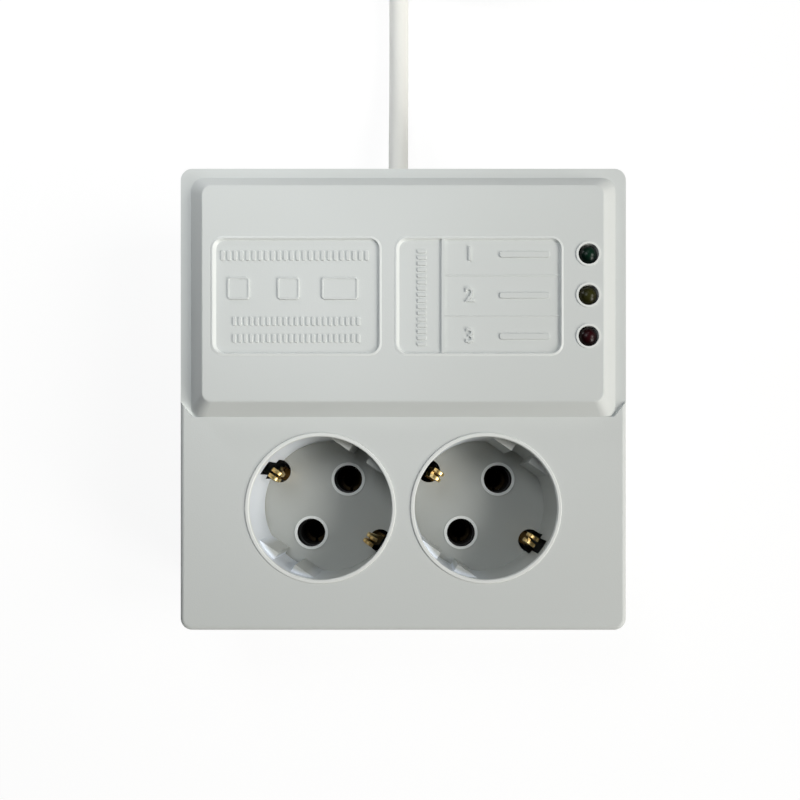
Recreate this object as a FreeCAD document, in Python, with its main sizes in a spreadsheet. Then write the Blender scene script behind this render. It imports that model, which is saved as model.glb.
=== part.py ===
import FreeCAD, Part
import math
import os
import re
import Sketcher
from FreeCAD import Placement, Rotation, Vector

# A square two-outlet surge protector box with earthed sockets, lying on its back.
# X runs to the right and Y up the face, towards the lead; Z points out of the face.
# The origin is under the middle of the case, on the surface that it rests on.

# Driving dimensions, in millimetres and degrees
SIZES = {
    # case
    "case_width": 118.6,
    "case_length": 122.8,
    "case_height": 42,
    "case_wall": 2.2,
    "case_corner": 3.2,
    "face_edge": 1.4,
    "back_edge": 1.2,
    "split_height": 9,
    "lap_height": 1.6,
    "lap_thickness": 0.9,
    "seam": 0.15,
    "margin_drop": 0.8,
    # raised half of the face
    "display_height": 4,
    "display_side": 7.4,
    "display_front": 27.6,
    "display_rear": 6.8,
    "display_corner": 2.5,
    "display_edge": 0.6,
    "slope_side": 4.5,
    "slope_end": 4.2,
    "display_inset": 1,
    "margin_cut_corner": 3.5,
    "margin_cut_rise": 4.4,
    # recessed label fields
    "label_depth": 0.5,
    "label_slope": 0.6,
    "label_length": 30.9,
    "label_drop": 0.7,
    "label_corner": 3,
    "label_margin": 2.7,
    "left_label_end": -5.9,
    "right_label_start": -1.8,
    "label_to_lights": 6.9,
    "divider_place": 10.4,
    "divider_width": 0.8,
    "divider_corner": 0.2,
    # status lights
    "light_inset": 4,
    "light_drop": 0.45,
    "light_pitch": 10.6,
    "light_radius": 2.5,
    "light_flange_radius": 2.9,
    "light_flange": 1,
    "light_barrel": 5.2,
    "light_rise": 1,
    "light_clearance": 0.15,
    "light_collar": 0.55,
    "collar_rise": 0.25,
    "light_leg": 0.5,
    "light_leg_spacing": 2.54,
    # sockets
    "socket_spacing": 43.8,
    "socket_middle": -28.9,
    "well_radius": 18.95,
    "well_depth": 17.5,
    "lip_width": 1.05,
    "lip_rise": 0.35,
    "lip_edge": 0.2,
    "mouth_gap": 0.05,
    "cup_wall": 2.35,
    "cup_floor": 3,
    "pin_angle": 55.4,
    "pin_spacing": 19,
    "pin_hole_radius": 4.1,
    "pin_ring": 0.8,
    "pin_ring_rise": 0.3,
    "rib_reach": 16.7,
    "rib_drop": 2.8,
    "rib_slot": 5.6,
    "clip_bay_start": 14.6,
    "clip_bay_width": 6.6,
    "clip_bay_height": 6.2,
    "clip_slit_width": 4.2,
    # earth contacts
    "clip_width": 2.8,
    "clip_thickness": 0.8,
    "clip_root_radius": 17.6,
    "clip_bulge_radius": 14.2,
    "clip_tip_radius": 16.4,
    "clip_gap": 0.3,
    "clip_bend_height": 3.6,
    "clip_bulge_height": 14.2,
    "clip_tip_height": 16.8,
    "clip_bend": 1.6,
    "clip_groove": 0.8,
    "clip_groove_low": 8,
    "clip_groove_high": 16.5,
    "clip_groove_corner": 0.3,
    "clip_tab_gap": 0.25,
    "strap_width": 3.6,
    "strap_thickness": 1,
    "link_width": 5,
    "link_end": 4,
    "lug_width": 4.4,
    "lug_drop": 3.6,
    # live and neutral contacts
    "holder_radius": 5,
    "sleeve_radius": 3.5,
    "sleeve_bore": 2.45,
    "sleeve_slit": 0.9,
    "sleeve_root": 2,
    "sleeve_top_drop": 7,
    "fit": 0.2,
    "bar_height": 3.6,
    "bar_thickness": 0.8,
    "bar_width": 7,
    # screws
    "case_screw_side": 8.7,
    "case_screw_front": 7.8,
    "case_screw_rear": 9.8,
    "case_boss": 4,
    "case_post": 7,
    "case_screw_radius": 1.5,
    "case_screw_head": 2.8,
    "case_screw_head_height": 2,
    "case_screw_sink": 3.4,
    "case_screw_grip": 12,
    "screw_hole": 0.2,
    "screw_pilot": 0.05,
    "screw_tip_room": 0.5,
    "pilot_floor": 0.8,
    "small_screw": 1.5,
    "small_head": 2.7,
    "small_head_height": 1.6,
    # circuit board
    "board_side": 5.1,
    "board_length": 44,
    "board_drop": 3.15,
    "board_thickness": 1.6,
    "board_height": 17,
    "board_corner": 1.5,
    "board_screw_side": 11,
    "board_screw_end": 4,
    "board_screw_grip": 8,
    "board_post": 3,
    # parts on the board, each from its right end and its middle; the chip is beside the left screws
    "transformer_inset": 77,
    "transformer_drop": 2,
    "core_width": 32,
    "core_length": 26,
    "core_height": 11,
    "window_width": 6,
    "window_length": 16,
    "window_place": 8,
    "bobbin_width": 21.4,
    "bobbin_length": 15.4,
    "bobbin_height": 19,
    "relay_inset": 42,
    "relay_rise": 10,
    "relay_width": 28.5,
    "relay_length": 16,
    "relay_height": 15.5,
    "film_inset": 17.4,
    "film_rise": 6,
    "film_width": 18,
    "film_length": 8.5,
    "film_height": 15,
    "moulded_edge": 0.7,
    "varistor_inset": 52,
    "varistor_pitch": 16.5,
    "varistor_drop": 9,
    "varistor_radius": 7,
    "varistor_thickness": 4.6,
    "varistor_lift": 8.2,
    "varistor_legs": 7.5,
    "can_inset": 20,
    "can_pitch": 11,
    "can_drop": 16,
    "can_radius": 4,
    "can_height": 12,
    "fuse_inset": 46,
    "fuse_drop": 17.5,
    "chip_inset": 15,
    "chip_rise": 17,
    "diode_inset": 52,
    "diode_pitch": 10,
    "resistor_inset": 50,
    "resistor_pitch": 14,
    "resistor_rise": 20,
    "regulator_inset": 30,
    "regulator_drop": 1.5,
    # mains lead
    "lead_place": -2.3,
    "lead_radius": 3.1,
    "lead_fit": 0.1,
    "relief_neck": 4.2,
    "relief_flange": 6,
    "relief_flange_thickness": 2,
    "relief_inside": 2.4,
    "relief_outside": 12,
    "relief_shoulder": 5.4,
    "relief_tip": 3.8,
    "clamp_width": 5,
    "clamp_length": 24,
    "clamp_height": 4.4,
    "clamp_screw_spacing": 16,
    "clamp_inset": 9.6,
    "clamp_screw_grip": 5,
    "saddle_wall": 1,
    "saddle_corner": 0.5,
    "core_radius": 1.1,
    # put-away coil
    "coil_least_radius": 26.6,
    "coil_pitch": 6.8,
    "coil_middle": 186,
    "coil_height": 4,
    "tie_width": 8,
    "tie_thickness": 0.6,
    "tie_slack": 0.5,
    "tie_corner": 1.5,
    # plug
    "plug_radius": 18.5,
    "plug_depth": 24,
    "plug_back_radius": 15.5,
    "plug_back": 6,
    "plug_relief": 16,
    "plug_relief_root": 6,
    "plug_relief_wide": 5.6,
    "plug_relief_narrow": 3.9,
    "plug_pin_radius": 2.4,
    "plug_pin_length": 19,
    "plug_pin_root": 8,
    "plug_groove_width": 5,
    "plug_groove_depth": 1.9,
    "plug_groove_length": 17,
    "plug_contact_width": 4.4,
    "plug_contact_thickness": 0.8,
    "plug_contact_drop": 1,
}
LEFT, RIGHT = -1, 1
COIL_TURNS_IN = 2.75  # turns from the outside of the lower layer to the middle of the climb
COIL_TURNS_OUT = 3.0  # turns from there to the outside of the upper layer
CLIMB = 0.25  # the climb takes this part of a turn on each side of its middle
COIL_START = 180  # the lead meets the coil on its left side
COIL_SIDES = 8
WIRE_SIDES = 6
PAST = 1  # what cuts reaches this far past what it cuts
BEND_SHARE = 0.45  # the most of a run that a bend at its end takes

doc = FreeCAD.newDocument("SurgeProtector")
sheet = doc.addObject("Spreadsheet::Sheet", "Sizes")
for row, (alias, number) in enumerate(SIZES.items(), 1):
    sheet.set(f"A{row}", alias)
    sheet.set(f"B{row}", str(number))
    sheet.setAlias(f"B{row}", alias)
doc.recompute()

NODES = []
WORD = re.compile(r"[a-z_]+")


def formula(text):
    """The text with each size's name turned into a reference to its cell."""
    return WORD.sub(lambda m: f"Sizes.{m[0]}" if m[0] in SIZES else m[0], str(text))


def bind(thing, prop, text):
    thing.setExpression(prop, formula(text))


def value(text):
    """What a formula of sizes comes to."""
    return float(sheet.evalExpression(formula(text)))


def node(thing, label):
    """Makes an object one of the part's named pieces."""
    thing.Label = label
    NODES.append(thing)
    return thing


def move(thing, x=0, y=0, z=0, turn=0):
    bind(thing, "Placement.Base.x", x)
    bind(thing, "Placement.Base.y", y)
    bind(thing, "Placement.Base.z", z)
    bind(thing, "Placement.Rotation.Angle", turn)
    return thing


# Solids from formulas


def box(x, y, z, width, length, height):
    """A box centred on x, y that stands on z."""
    b = doc.addObject("Part::Box", "Box")
    bind(b, "Length", width)
    bind(b, "Width", length)
    bind(b, "Height", height)
    return move(b, f"({x}) - ({width}) / 2", f"({y}) - ({length}) / 2", z)


def cylinder(x, y, z, radius, height):
    c = doc.addObject("Part::Cylinder", "Cylinder")
    bind(c, "Radius", radius)
    bind(c, "Height", height)
    return move(c, x, y, z)


def cone(x, y, z, low_radius, high_radius, height):
    c = doc.addObject("Part::Cone", "Cone")
    bind(c, "Radius1", low_radius)
    bind(c, "Radius2", high_radius)
    bind(c, "Height", height)
    return move(c, x, y, z)


def lay_along(thing, x, y, z, turn=90):
    """Lays an upright round solid down: along +Y, or along +X with a turn of 0."""
    thing.Placement = Placement(Vector(), Rotation(Vector(0, 0, 1), turn) * Rotation(Vector(0, 1, 0), 90))
    bind(thing, "Placement.Base.x", x)
    bind(thing, "Placement.Base.y", y)
    bind(thing, "Placement.Base.z", z)
    return thing


def rod(x, y, z, radius, length, turn=90):
    c = doc.addObject("Part::Cylinder", "Rod")
    bind(c, "Radius", radius)
    bind(c, "Height", length)
    return lay_along(c, x, y, z, turn)


def taper(x, y, z, near_radius, far_radius, length, turn=90):
    c = doc.addObject("Part::Cone", "Taper")
    bind(c, "Radius1", near_radius)
    bind(c, "Radius2", far_radius)
    bind(c, "Height", length)
    return lay_along(c, x, y, z, turn)


def fuse(*parts):
    f = doc.addObject("Part::MultiFuse", "Fuse")
    f.Shapes = parts
    return f


def cut(base, *tools):
    c = doc.addObject("Part::Cut", "Cut")
    c.Base = base
    c.Tool = tools[0] if len(tools) == 1 else fuse(*tools)
    return c


def common(first, second):
    c = doc.addObject("Part::MultiCommon", "Common")
    c.Shapes = [first, second]
    return c


def group(*parts):
    """Several separate solids that are one named piece."""
    g = doc.addObject("Part::Compound", "Group")
    g.Links = parts
    return g


def eased_edges(base, radius, wanted, kind="Fillet"):
    """Fillets or chamfers the edges that the test wanted picks out."""
    doc.recompute()
    f = doc.addObject(f"Part::{kind}", "Eased")
    f.Base = base
    size = value(radius)
    f.Edges = [(i, size, size) for i, edge in enumerate(base.Shape.Edges, 1) if wanted(edge)]
    return f


# Sketches and bodies


def new_body(label):
    return node(doc.addObject("PartDesign::Body", label), label)


def sketch(body, role="XY_Plane", lift=0):
    """A sketch on one of the body's own planes, lifted off it along its normal."""
    plane = next(f for f in body.Origin.OriginFeatures if f.Role == role)
    s = body.newObject("Sketcher::SketchObject", "Sketch")
    s.AttachmentSupport = [(plane, "")]
    s.MapMode = "FlatFace"
    bind(s, "AttachmentOffset.Base.z", lift)
    return s


def hold(s, kind, where, text):
    """Adds a constraint whose size is a formula."""
    i = s.addConstraint(Sketcher.Constraint(kind, *where, value(text)))
    bind(s, f"Constraints[{i}]", text)


def draw_circle(s, x, y, radius):
    g = s.addGeometry(Part.Circle(Vector(value(x), value(y), 0), Vector(0, 0, 1), value(radius)))
    hold(s, "DistanceX", (-1, 1, g, 3), x)
    hold(s, "DistanceY", (-1, 1, g, 3), y)
    hold(s, "Radius", (g,), radius)


def draw_polygon(s, points):
    """A closed outline of straight lines; each point is a pair of formulas."""
    spots = [Vector(value(x), value(y), 0) for x, y in points]
    count = len(spots)
    first = s.GeometryCount
    for i in range(count):
        s.addGeometry(Part.LineSegment(spots[i], spots[(i + 1) % count]))
    for i, (x, y) in enumerate(points):
        s.addConstraint(Sketcher.Constraint("Coincident", first + (i - 1) % count, 2, first + i, 1))
        hold(s, "DistanceX", (-1, 1, first + i, 1), x)
        hold(s, "DistanceY", (-1, 1, first + i, 1), y)


def draw_rounded(s, x, y, width, length, radius):
    """A rectangle with round corners, centred on x, y."""
    w, h, r = value(width) / 2, value(length) / 2, value(radius)
    middle = Vector(value(x), value(y), 0)
    first = s.GeometryCount
    for i in range(4):
        across, up = (w, h) if i % 2 == 0 else (h, w)
        spin = Rotation(Vector(0, 0, 1), 90 * i)
        start = middle + spin.multVec(Vector(r - across, -up, 0))
        end = middle + spin.multVec(Vector(across - r, -up, 0))
        hub = middle + spin.multVec(Vector(across - r, r - up, 0))
        s.addGeometry(Part.LineSegment(start, end))
        bend = Part.Circle(hub, Vector(0, 0, 1), r)
        s.addGeometry(Part.ArcOfCircle(bend, math.radians(90 * i - 90), math.radians(90 * i)))
    for i in range(4):
        side, bend, after = first + 2 * i, first + 2 * i + 1, first + (2 * i + 2) % 8
        s.addConstraint(Sketcher.Constraint("Tangent", side, 2, bend, 1))
        s.addConstraint(Sketcher.Constraint("Tangent", bend, 2, after, 1))
        s.addConstraint(Sketcher.Constraint("Horizontal" if i % 2 == 0 else "Vertical", side))
        if i:
            s.addConstraint(Sketcher.Constraint("Equal", first + 1, bend))
    hold(s, "Radius", (first + 1,), radius)
    hold(s, "DistanceY", (-1, 1, first, 1), f"({y}) - ({length}) / 2")
    hold(s, "DistanceY", (-1, 1, first + 4, 1), f"({y}) + ({length}) / 2")
    hold(s, "DistanceX", (-1, 1, first + 2, 1), f"({x}) + ({width}) / 2")
    hold(s, "DistanceX", (-1, 1, first + 6, 1), f"({x}) - ({width}) / 2")


def pad(body, s, length, down=False):
    p = body.newObject("PartDesign::Pad", "Pad")
    p.Profile = s
    p.Reversed = down
    bind(p, "Length", length)
    doc.recompute()
    return p


def pocket(body, s, length, up=False):
    """Cuts downwards from the sketch, or upwards."""
    p = body.newObject("PartDesign::Pocket", "Pocket")
    p.Profile = s
    p.Reversed = up
    bind(p, "Length", length)
    doc.recompute()
    return p


def slope(body, kind, low, high):
    """A loft between two sketches, added to the body or cut from it."""
    piece = body.newObject(f"PartDesign::{kind}Loft", "Slope")
    piece.Profile = low
    piece.Sections = [high]
    doc.recompute()
    return piece


def round_off(body, radius, wanted):
    """Fillets the edges of the body's last feature that the test wanted picks out."""
    last = body.Tip
    names = [f"Edge{i}" for i, edge in enumerate(last.Shape.Edges, 1) if wanted(edge)]
    f = body.newObject("PartDesign::Fillet", "Rounding")
    f.Base = (last, names)
    bind(f, "Radius", radius)
    doc.recompute()
    return f


def at_height(level):
    """A test for edges that lie at one height."""
    z = value(level)
    return lambda edge: abs(edge.BoundBox.ZMin - z) < 0.01 and abs(edge.BoundBox.ZMax - z) < 0.01


# Tubes along routes


def arc_from(start, way, end):
    """The arc from start to end that sets out along way."""
    chord = end - start
    along = Vector(chord).normalize()
    side = way - along * way.dot(along)
    if side.Length < 1e-9:
        return Part.LineSegment(start, end).toShape()
    half = math.acos(max(-1, min(1, way.dot(along))))
    middle = (start + end) * 0.5 + side.normalize() * (chord.Length / 2 * math.tan(half / 2))
    return Part.Arc(start, middle, end).toShape()


def bent_path(points, label=None):
    """Straight runs joined by tangent arcs, each as large as its runs allow."""
    spots = [Vector(*p) for p in points]
    edges, radii, start = [], [], spots[0]
    for before, corner, after in zip(spots, spots[1:], spots[2:]):
        one, two = corner - before, after - corner
        reach = BEND_SHARE * min(one.Length, two.Length)
        half_turn = one.getAngle(two) / 2
        radii.append(reach / math.tan(half_turn))
        leave = corner - Vector(one).normalize() * reach
        join = corner + Vector(two).normalize() * reach
        edges.append(Part.LineSegment(start, leave).toShape())
        edges.append(arc_from(leave, Vector(one).normalize(), join))
        start = join
    edges.append(Part.LineSegment(start, spots[-1]).toShape())
    if label:
        print(label, "bend radii", [round(r, 1) for r in radii])
    return edges


def tube_along(edges, radius, label, sides=0):
    """A solid tube along joined edges, round or with flat sides."""
    path = Part.Wire(edges)
    start = edges[0].Vertexes[0].Point
    heading = edges[0].tangentAt(edges[0].FirstParameter)
    section = Part.Circle(start, heading, radius)
    area = math.pi * radius**2
    if sides:
        corners = [section.value(2 * math.pi * i / sides) for i in range(sides + 1)]
        ring = Part.makePolygon(corners)
        area = sides / 2 * radius**2 * math.sin(2 * math.pi / sides)
    else:
        ring = Part.Wire([section.toShape()])
    solid = path.makePipeShell([ring], True, False)
    f = doc.addObject("Part::Feature", "Tube")
    f.Shape = solid
    wanted = area * path.Length
    print(f"{label}: length {path.Length:.1f}, volume off by {abs(solid.Volume) / wanted - 1:.4f}")
    return f, path.Length


# Heights and places that several pieces share
ROOF = "(case_height - margin_drop - case_wall)"
FACE = "(case_height + display_height)"
WELL_FLOOR = "(case_height - well_depth)"
CUP_BOTTOM = "(case_height - well_depth - cup_floor)"
CUP_RADIUS = "(well_radius + cup_wall)"
LIP_RADIUS = "(well_radius + lip_width)"
BAR_TOP = "(bar_height + bar_thickness)"
LINK_BOTTOM = "(case_height - well_depth - cup_floor - 2 * strap_thickness)"
BOARD_TOP = "(board_height + board_thickness)"
INNER_WIDTH = "(case_width - 2 * case_wall)"
INNER_LENGTH = "(case_length - 2 * case_wall)"
INNER_CORNER = "(case_corner - case_wall)"
REAR = "(case_length / 2)"
FLANGE_HEIGHT = "(case_height + display_height + light_rise - light_radius - light_barrel - light_flange)"
DISPLAY_WIDTH = "(case_width - 2 * display_side)"
DISPLAY_LENGTH = "(case_length / 2 - display_rear - socket_middle - display_front)"
DISPLAY_MIDDLE = "((case_length / 2 - display_rear + socket_middle + display_front) / 2)"
LABEL_MIDDLE = f"({DISPLAY_MIDDLE} - label_drop)"
LIGHT_COLUMN = f"({DISPLAY_WIDTH} / 2 - light_inset)"
LABELS = [
    (f"(label_margin - {DISPLAY_WIDTH} / 2)", "left_label_end"),
    ("right_label_start", f"({LIGHT_COLUMN} - label_to_lights)"),
]
BOARD_WIDTH = f"({INNER_WIDTH} - 2 * board_side)"
BOARD_MIDDLE = f"({DISPLAY_MIDDLE} - board_drop)"
CLAMP = f"({REAR} - clamp_inset)"
CASE_ROWS = (f"(case_screw_front - {REAR})", f"({REAR} - case_screw_rear)")
CASE_SCREW_X = "(case_width / 2 - case_screw_side)"
CASE_SCREWS = [(f"{side} * {CASE_SCREW_X}", y) for side in (LEFT, RIGHT) for y in CASE_ROWS]
BOARD_ROWS = [f"({BOARD_MIDDLE} + {side} * (board_length / 2 - board_screw_end))" for side in (LEFT, RIGHT)]
BOARD_SCREW_X = f"({BOARD_WIDTH} / 2 - board_screw_side)"
BOARD_SCREWS = [(f"{side} * {BOARD_SCREW_X}", y) for side in (LEFT, RIGHT) for y in BOARD_ROWS]
SOCKETS = [(f"{side} * socket_spacing / 2", "socket_middle") for side in (LEFT, RIGHT)]
LIGHTS = [f"({DISPLAY_MIDDLE} - light_drop + {step} * light_pitch)" for step in (1, 0, -1)]
CLAMP_SCREWS = [f"lead_place + {side} * clamp_screw_spacing / 2" for side in (LEFT, RIGHT)]


def contact_place(side, end):
    """The middle of a pin contact: of the left or right socket, at one end of its pin line."""
    x = f"({side} * socket_spacing / 2 + {end} * pin_spacing / 2 * cos(pin_angle))"
    y = f"(socket_middle + {end} * pin_spacing / 2 * sin(pin_angle))"
    return x, y


def lead_notch():
    """What the grommet's neck takes out of the wall, at the height where the covers meet."""
    start, through = f"{REAR} - case_wall - {PAST}", f"case_wall + {2 * PAST}"
    return rod("lead_place", start, "split_height", "relief_neck + lead_fit", through)


def lead_saddle():
    """The hollow in which the lead lies between its clamp and its rest."""
    start, through = f"{CLAMP} - clamp_width", "2 * clamp_width"
    return rod("lead_place", start, "split_height", "lead_radius + lead_fit / 2", through)


# Front cover: a deep shell with the raised half, its label fields and the holes for sockets and lights


def front_cover():
    body = doc.addObject("PartDesign::Body", "FrontShell")
    s = sketch(body, lift="split_height")
    draw_rounded(s, 0, 0, "case_width", "case_length", "case_corner")
    pad(body, s, "case_height - split_height")
    round_off(body, "face_edge", at_height("case_height"))
    # the margin beside the raised half lies lower than the socket face
    front = "socket_middle + display_front - margin_cut_corner"
    s = sketch(body, lift="case_height")
    side, rear = f"(case_width / 2 + {PAST})", f"{REAR} + {PAST}"
    draw_polygon(
        s,
        [
            ("-(case_width / 2) + margin_cut_corner", front),
            ("case_width / 2 - margin_cut_corner", front),
            ("case_width / 2", f"{front} + margin_cut_rise"),
            (side, f"{front} + margin_cut_rise"),
            (side, rear),
            (f"-{side}", rear),
            (f"-{side}", f"{front} + margin_cut_rise"),
            ("-(case_width / 2)", f"{front} + margin_cut_rise"),
        ],
    )
    pocket(body, s, "margin_drop")
    # raised half with sloped sides
    low = sketch(body, lift="case_height - margin_drop")
    foot_width, foot_length = f"{DISPLAY_WIDTH} + 2 * slope_side", f"{DISPLAY_LENGTH} + 2 * slope_end"
    draw_rounded(low, 0, DISPLAY_MIDDLE, foot_width, foot_length, "display_corner + display_inset")
    high = sketch(body, lift=FACE)
    draw_rounded(high, 0, DISPLAY_MIDDLE, DISPLAY_WIDTH, DISPLAY_LENGTH, "display_corner")
    slope(body, "Additive", low, high)
    round_off(body, "display_edge", at_height(FACE))
    # inside of the shell
    s = sketch(body, lift="split_height")
    draw_rounded(s, 0, 0, INNER_WIDTH, INNER_LENGTH, INNER_CORNER)
    pocket(body, s, f"{ROOF} - split_height", up=True)
    low = sketch(body, lift=ROOF)
    draw_rounded(
        low,
        0,
        DISPLAY_MIDDLE,
        f"{foot_width} - 2 * display_inset",
        f"{foot_length} - 2 * display_inset",
        "display_corner",
    )
    high = sketch(body, lift=f"{FACE} - case_wall")
    draw_rounded(
        high,
        0,
        DISPLAY_MIDDLE,
        f"{DISPLAY_WIDTH} - 2 * display_inset",
        f"{DISPLAY_LENGTH} - 2 * display_inset",
        "display_corner - display_inset",
    )
    slope(body, "Subtractive", low, high)
    # rebate for the back cover's lap
    s = sketch(body, lift="split_height")
    draw_rounded(
        s,
        0,
        0,
        f"{INNER_WIDTH} + 2 * lap_thickness + 2 * seam",
        f"{INNER_LENGTH} + 2 * lap_thickness + 2 * seam",
        f"{INNER_CORNER} + lap_thickness + seam",
    )
    pocket(body, s, "lap_height + seam", up=True)
    # label fields
    for start, end in LABELS:
        x, width = f"({start} + {end}) / 2", f"({end} - {start})"
        low = sketch(body, lift=f"{FACE} - label_depth")
        draw_rounded(
            low,
            x,
            LABEL_MIDDLE,
            f"{width} - 2 * label_slope",
            "label_length - 2 * label_slope",
            "label_corner - label_slope",
        )
        high = sketch(body, lift=FACE)
        draw_rounded(high, x, LABEL_MIDDLE, width, "label_length", "label_corner")
        slope(body, "Subtractive", low, high)
    s = sketch(body, lift=f"{FACE} - label_depth")
    divider_length = "label_length - 2 * label_slope"
    draw_rounded(s, "divider_place", LABEL_MIDDLE, "divider_width", divider_length, "divider_corner")
    pad(body, s, "label_depth")
    # collars of the lights, then their holes
    s = sketch(body, lift=FACE)
    for y in LIGHTS:
        draw_circle(s, LIGHT_COLUMN, y, "light_radius + light_clearance + light_collar")
    pad(body, s, "collar_rise")
    s = sketch(body, lift=f"{FACE} + collar_rise")
    for y in LIGHTS:
        draw_circle(s, LIGHT_COLUMN, y, "light_radius + light_clearance")
    pocket(body, s, f"collar_rise + case_wall + {PAST}")
    # openings for the sockets
    s = sketch(body, lift="case_height")
    for x, y in SOCKETS:
        draw_circle(s, x, y, f"{LIP_RADIUS} + mouth_gap")
    pocket(body, s, f"case_height - {ROOF} + {PAST}")
    # screw bosses
    s = sketch(body, lift="case_post")
    for x, y in CASE_SCREWS:
        draw_circle(s, x, y, "case_boss")
    pad(body, s, f"{ROOF} + case_wall / 2 - case_post")
    s = sketch(body, lift="case_post")
    for x, y in CASE_SCREWS:
        draw_circle(s, x, y, "case_screw_radius + screw_pilot")
    pocket(body, s, "case_screw_grip + screw_tip_room", up=True)
    return node(cut(body, lead_notch()), "front_cover")


# Back cover: a shallow pan with a lap, screw posts, and rests for the board, the bars and the lead


def back_cover():
    body = doc.addObject("PartDesign::Body", "BackPan")
    s = sketch(body)
    draw_rounded(s, 0, 0, "case_width", "case_length", "case_corner")
    pad(body, s, "split_height")
    round_off(body, "back_edge", at_height(0))
    s = sketch(body, lift="split_height")
    draw_rounded(s, 0, 0, INNER_WIDTH, INNER_LENGTH, INNER_CORNER)
    pocket(body, s, "split_height - case_wall")
    s = sketch(body, lift="split_height")
    lap_width, lap_length = f"{INNER_WIDTH} + 2 * lap_thickness", f"{INNER_LENGTH} + 2 * lap_thickness"
    draw_rounded(s, 0, 0, lap_width, lap_length, f"{INNER_CORNER} + lap_thickness")
    draw_rounded(s, 0, 0, INNER_WIDTH, INNER_LENGTH, INNER_CORNER)
    pad(body, s, "lap_height")
    # posts of the case screws
    s = sketch(body, lift="case_wall / 2")
    for x, y in CASE_SCREWS:
        draw_circle(s, x, y, "case_boss")
    pad(body, s, "case_post - case_wall / 2")
    # posts of the board
    s = sketch(body, lift="case_wall / 2")
    for x, y in BOARD_SCREWS:
        draw_circle(s, x, y, "board_post")
    pad(body, s, "board_height - case_wall / 2")
    # rests under the pin contacts
    s = sketch(body, lift="case_wall / 2")
    for side in (LEFT, RIGHT):
        for end in (LEFT, RIGHT):
            draw_circle(s, *contact_place(side, end), "bar_width / 2")
    pad(body, s, "bar_height - case_wall / 2")
    # posts and saddle of the lead clamp
    s = sketch(body, lift="case_wall / 2")
    for x in CLAMP_SCREWS:
        draw_circle(s, x, CLAMP, "clamp_width / 2")
    pad(body, s, "split_height - case_wall / 2")
    s = sketch(body, lift="case_wall / 2")
    saddle_width = "2 * (lead_radius + saddle_wall)"
    draw_rounded(s, "lead_place", CLAMP, saddle_width, "clamp_width", "saddle_corner")
    pad(body, s, "split_height - lead_radius / 2 - case_wall / 2")
    # screw holes
    s = sketch(body)
    for x, y in CASE_SCREWS:
        draw_circle(s, x, y, "case_screw_radius + screw_hole")
    pocket(body, s, f"case_post + {PAST}", up=True)
    s = sketch(body)
    for x, y in CASE_SCREWS:
        draw_circle(s, x, y, "case_screw_head + screw_hole")
    pocket(body, s, "case_screw_sink", up=True)
    s = sketch(body, lift="board_height")
    for x, y in BOARD_SCREWS:
        draw_circle(s, x, y, "small_screw + screw_pilot")
    pocket(body, s, "board_screw_grip + screw_tip_room")
    s = sketch(body, lift="split_height")
    for x in CLAMP_SCREWS:
        draw_circle(s, x, CLAMP, "small_screw + screw_pilot")
    pocket(body, s, "clamp_screw_grip + screw_tip_room")
    return node(cut(body, lead_notch(), lead_saddle()), "back_cover")


front_cover()
back_cover()


def screws(label, places, seat, grip, shank, head, head_height, down):
    """Pan-head screws: the head sits at the height seat, and the shank runs down or up from it."""
    made = []
    head_low = seat if down else f"{seat} - {head_height}"
    shank_low = f"{seat} - {grip}" if down else seat
    for x, y in places:
        made.append(fuse(cylinder(x, y, head_low, head, head_height), cylinder(x, y, shank_low, shank, grip)))
    return node(group(*made), label)


screws(
    "case_screws",
    CASE_SCREWS,
    "case_screw_sink",
    "(case_post - case_screw_sink + case_screw_grip)",
    "case_screw_radius",
    "case_screw_head",
    "case_screw_head_height",
    down=False,
)


# Sockets: each is made with its pins along X, then turned to its place


def place_socket(piece, side, turn="pin_angle"):
    return move(piece, f"{side} * socket_spacing / 2", "socket_middle", 0, turn)


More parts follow.
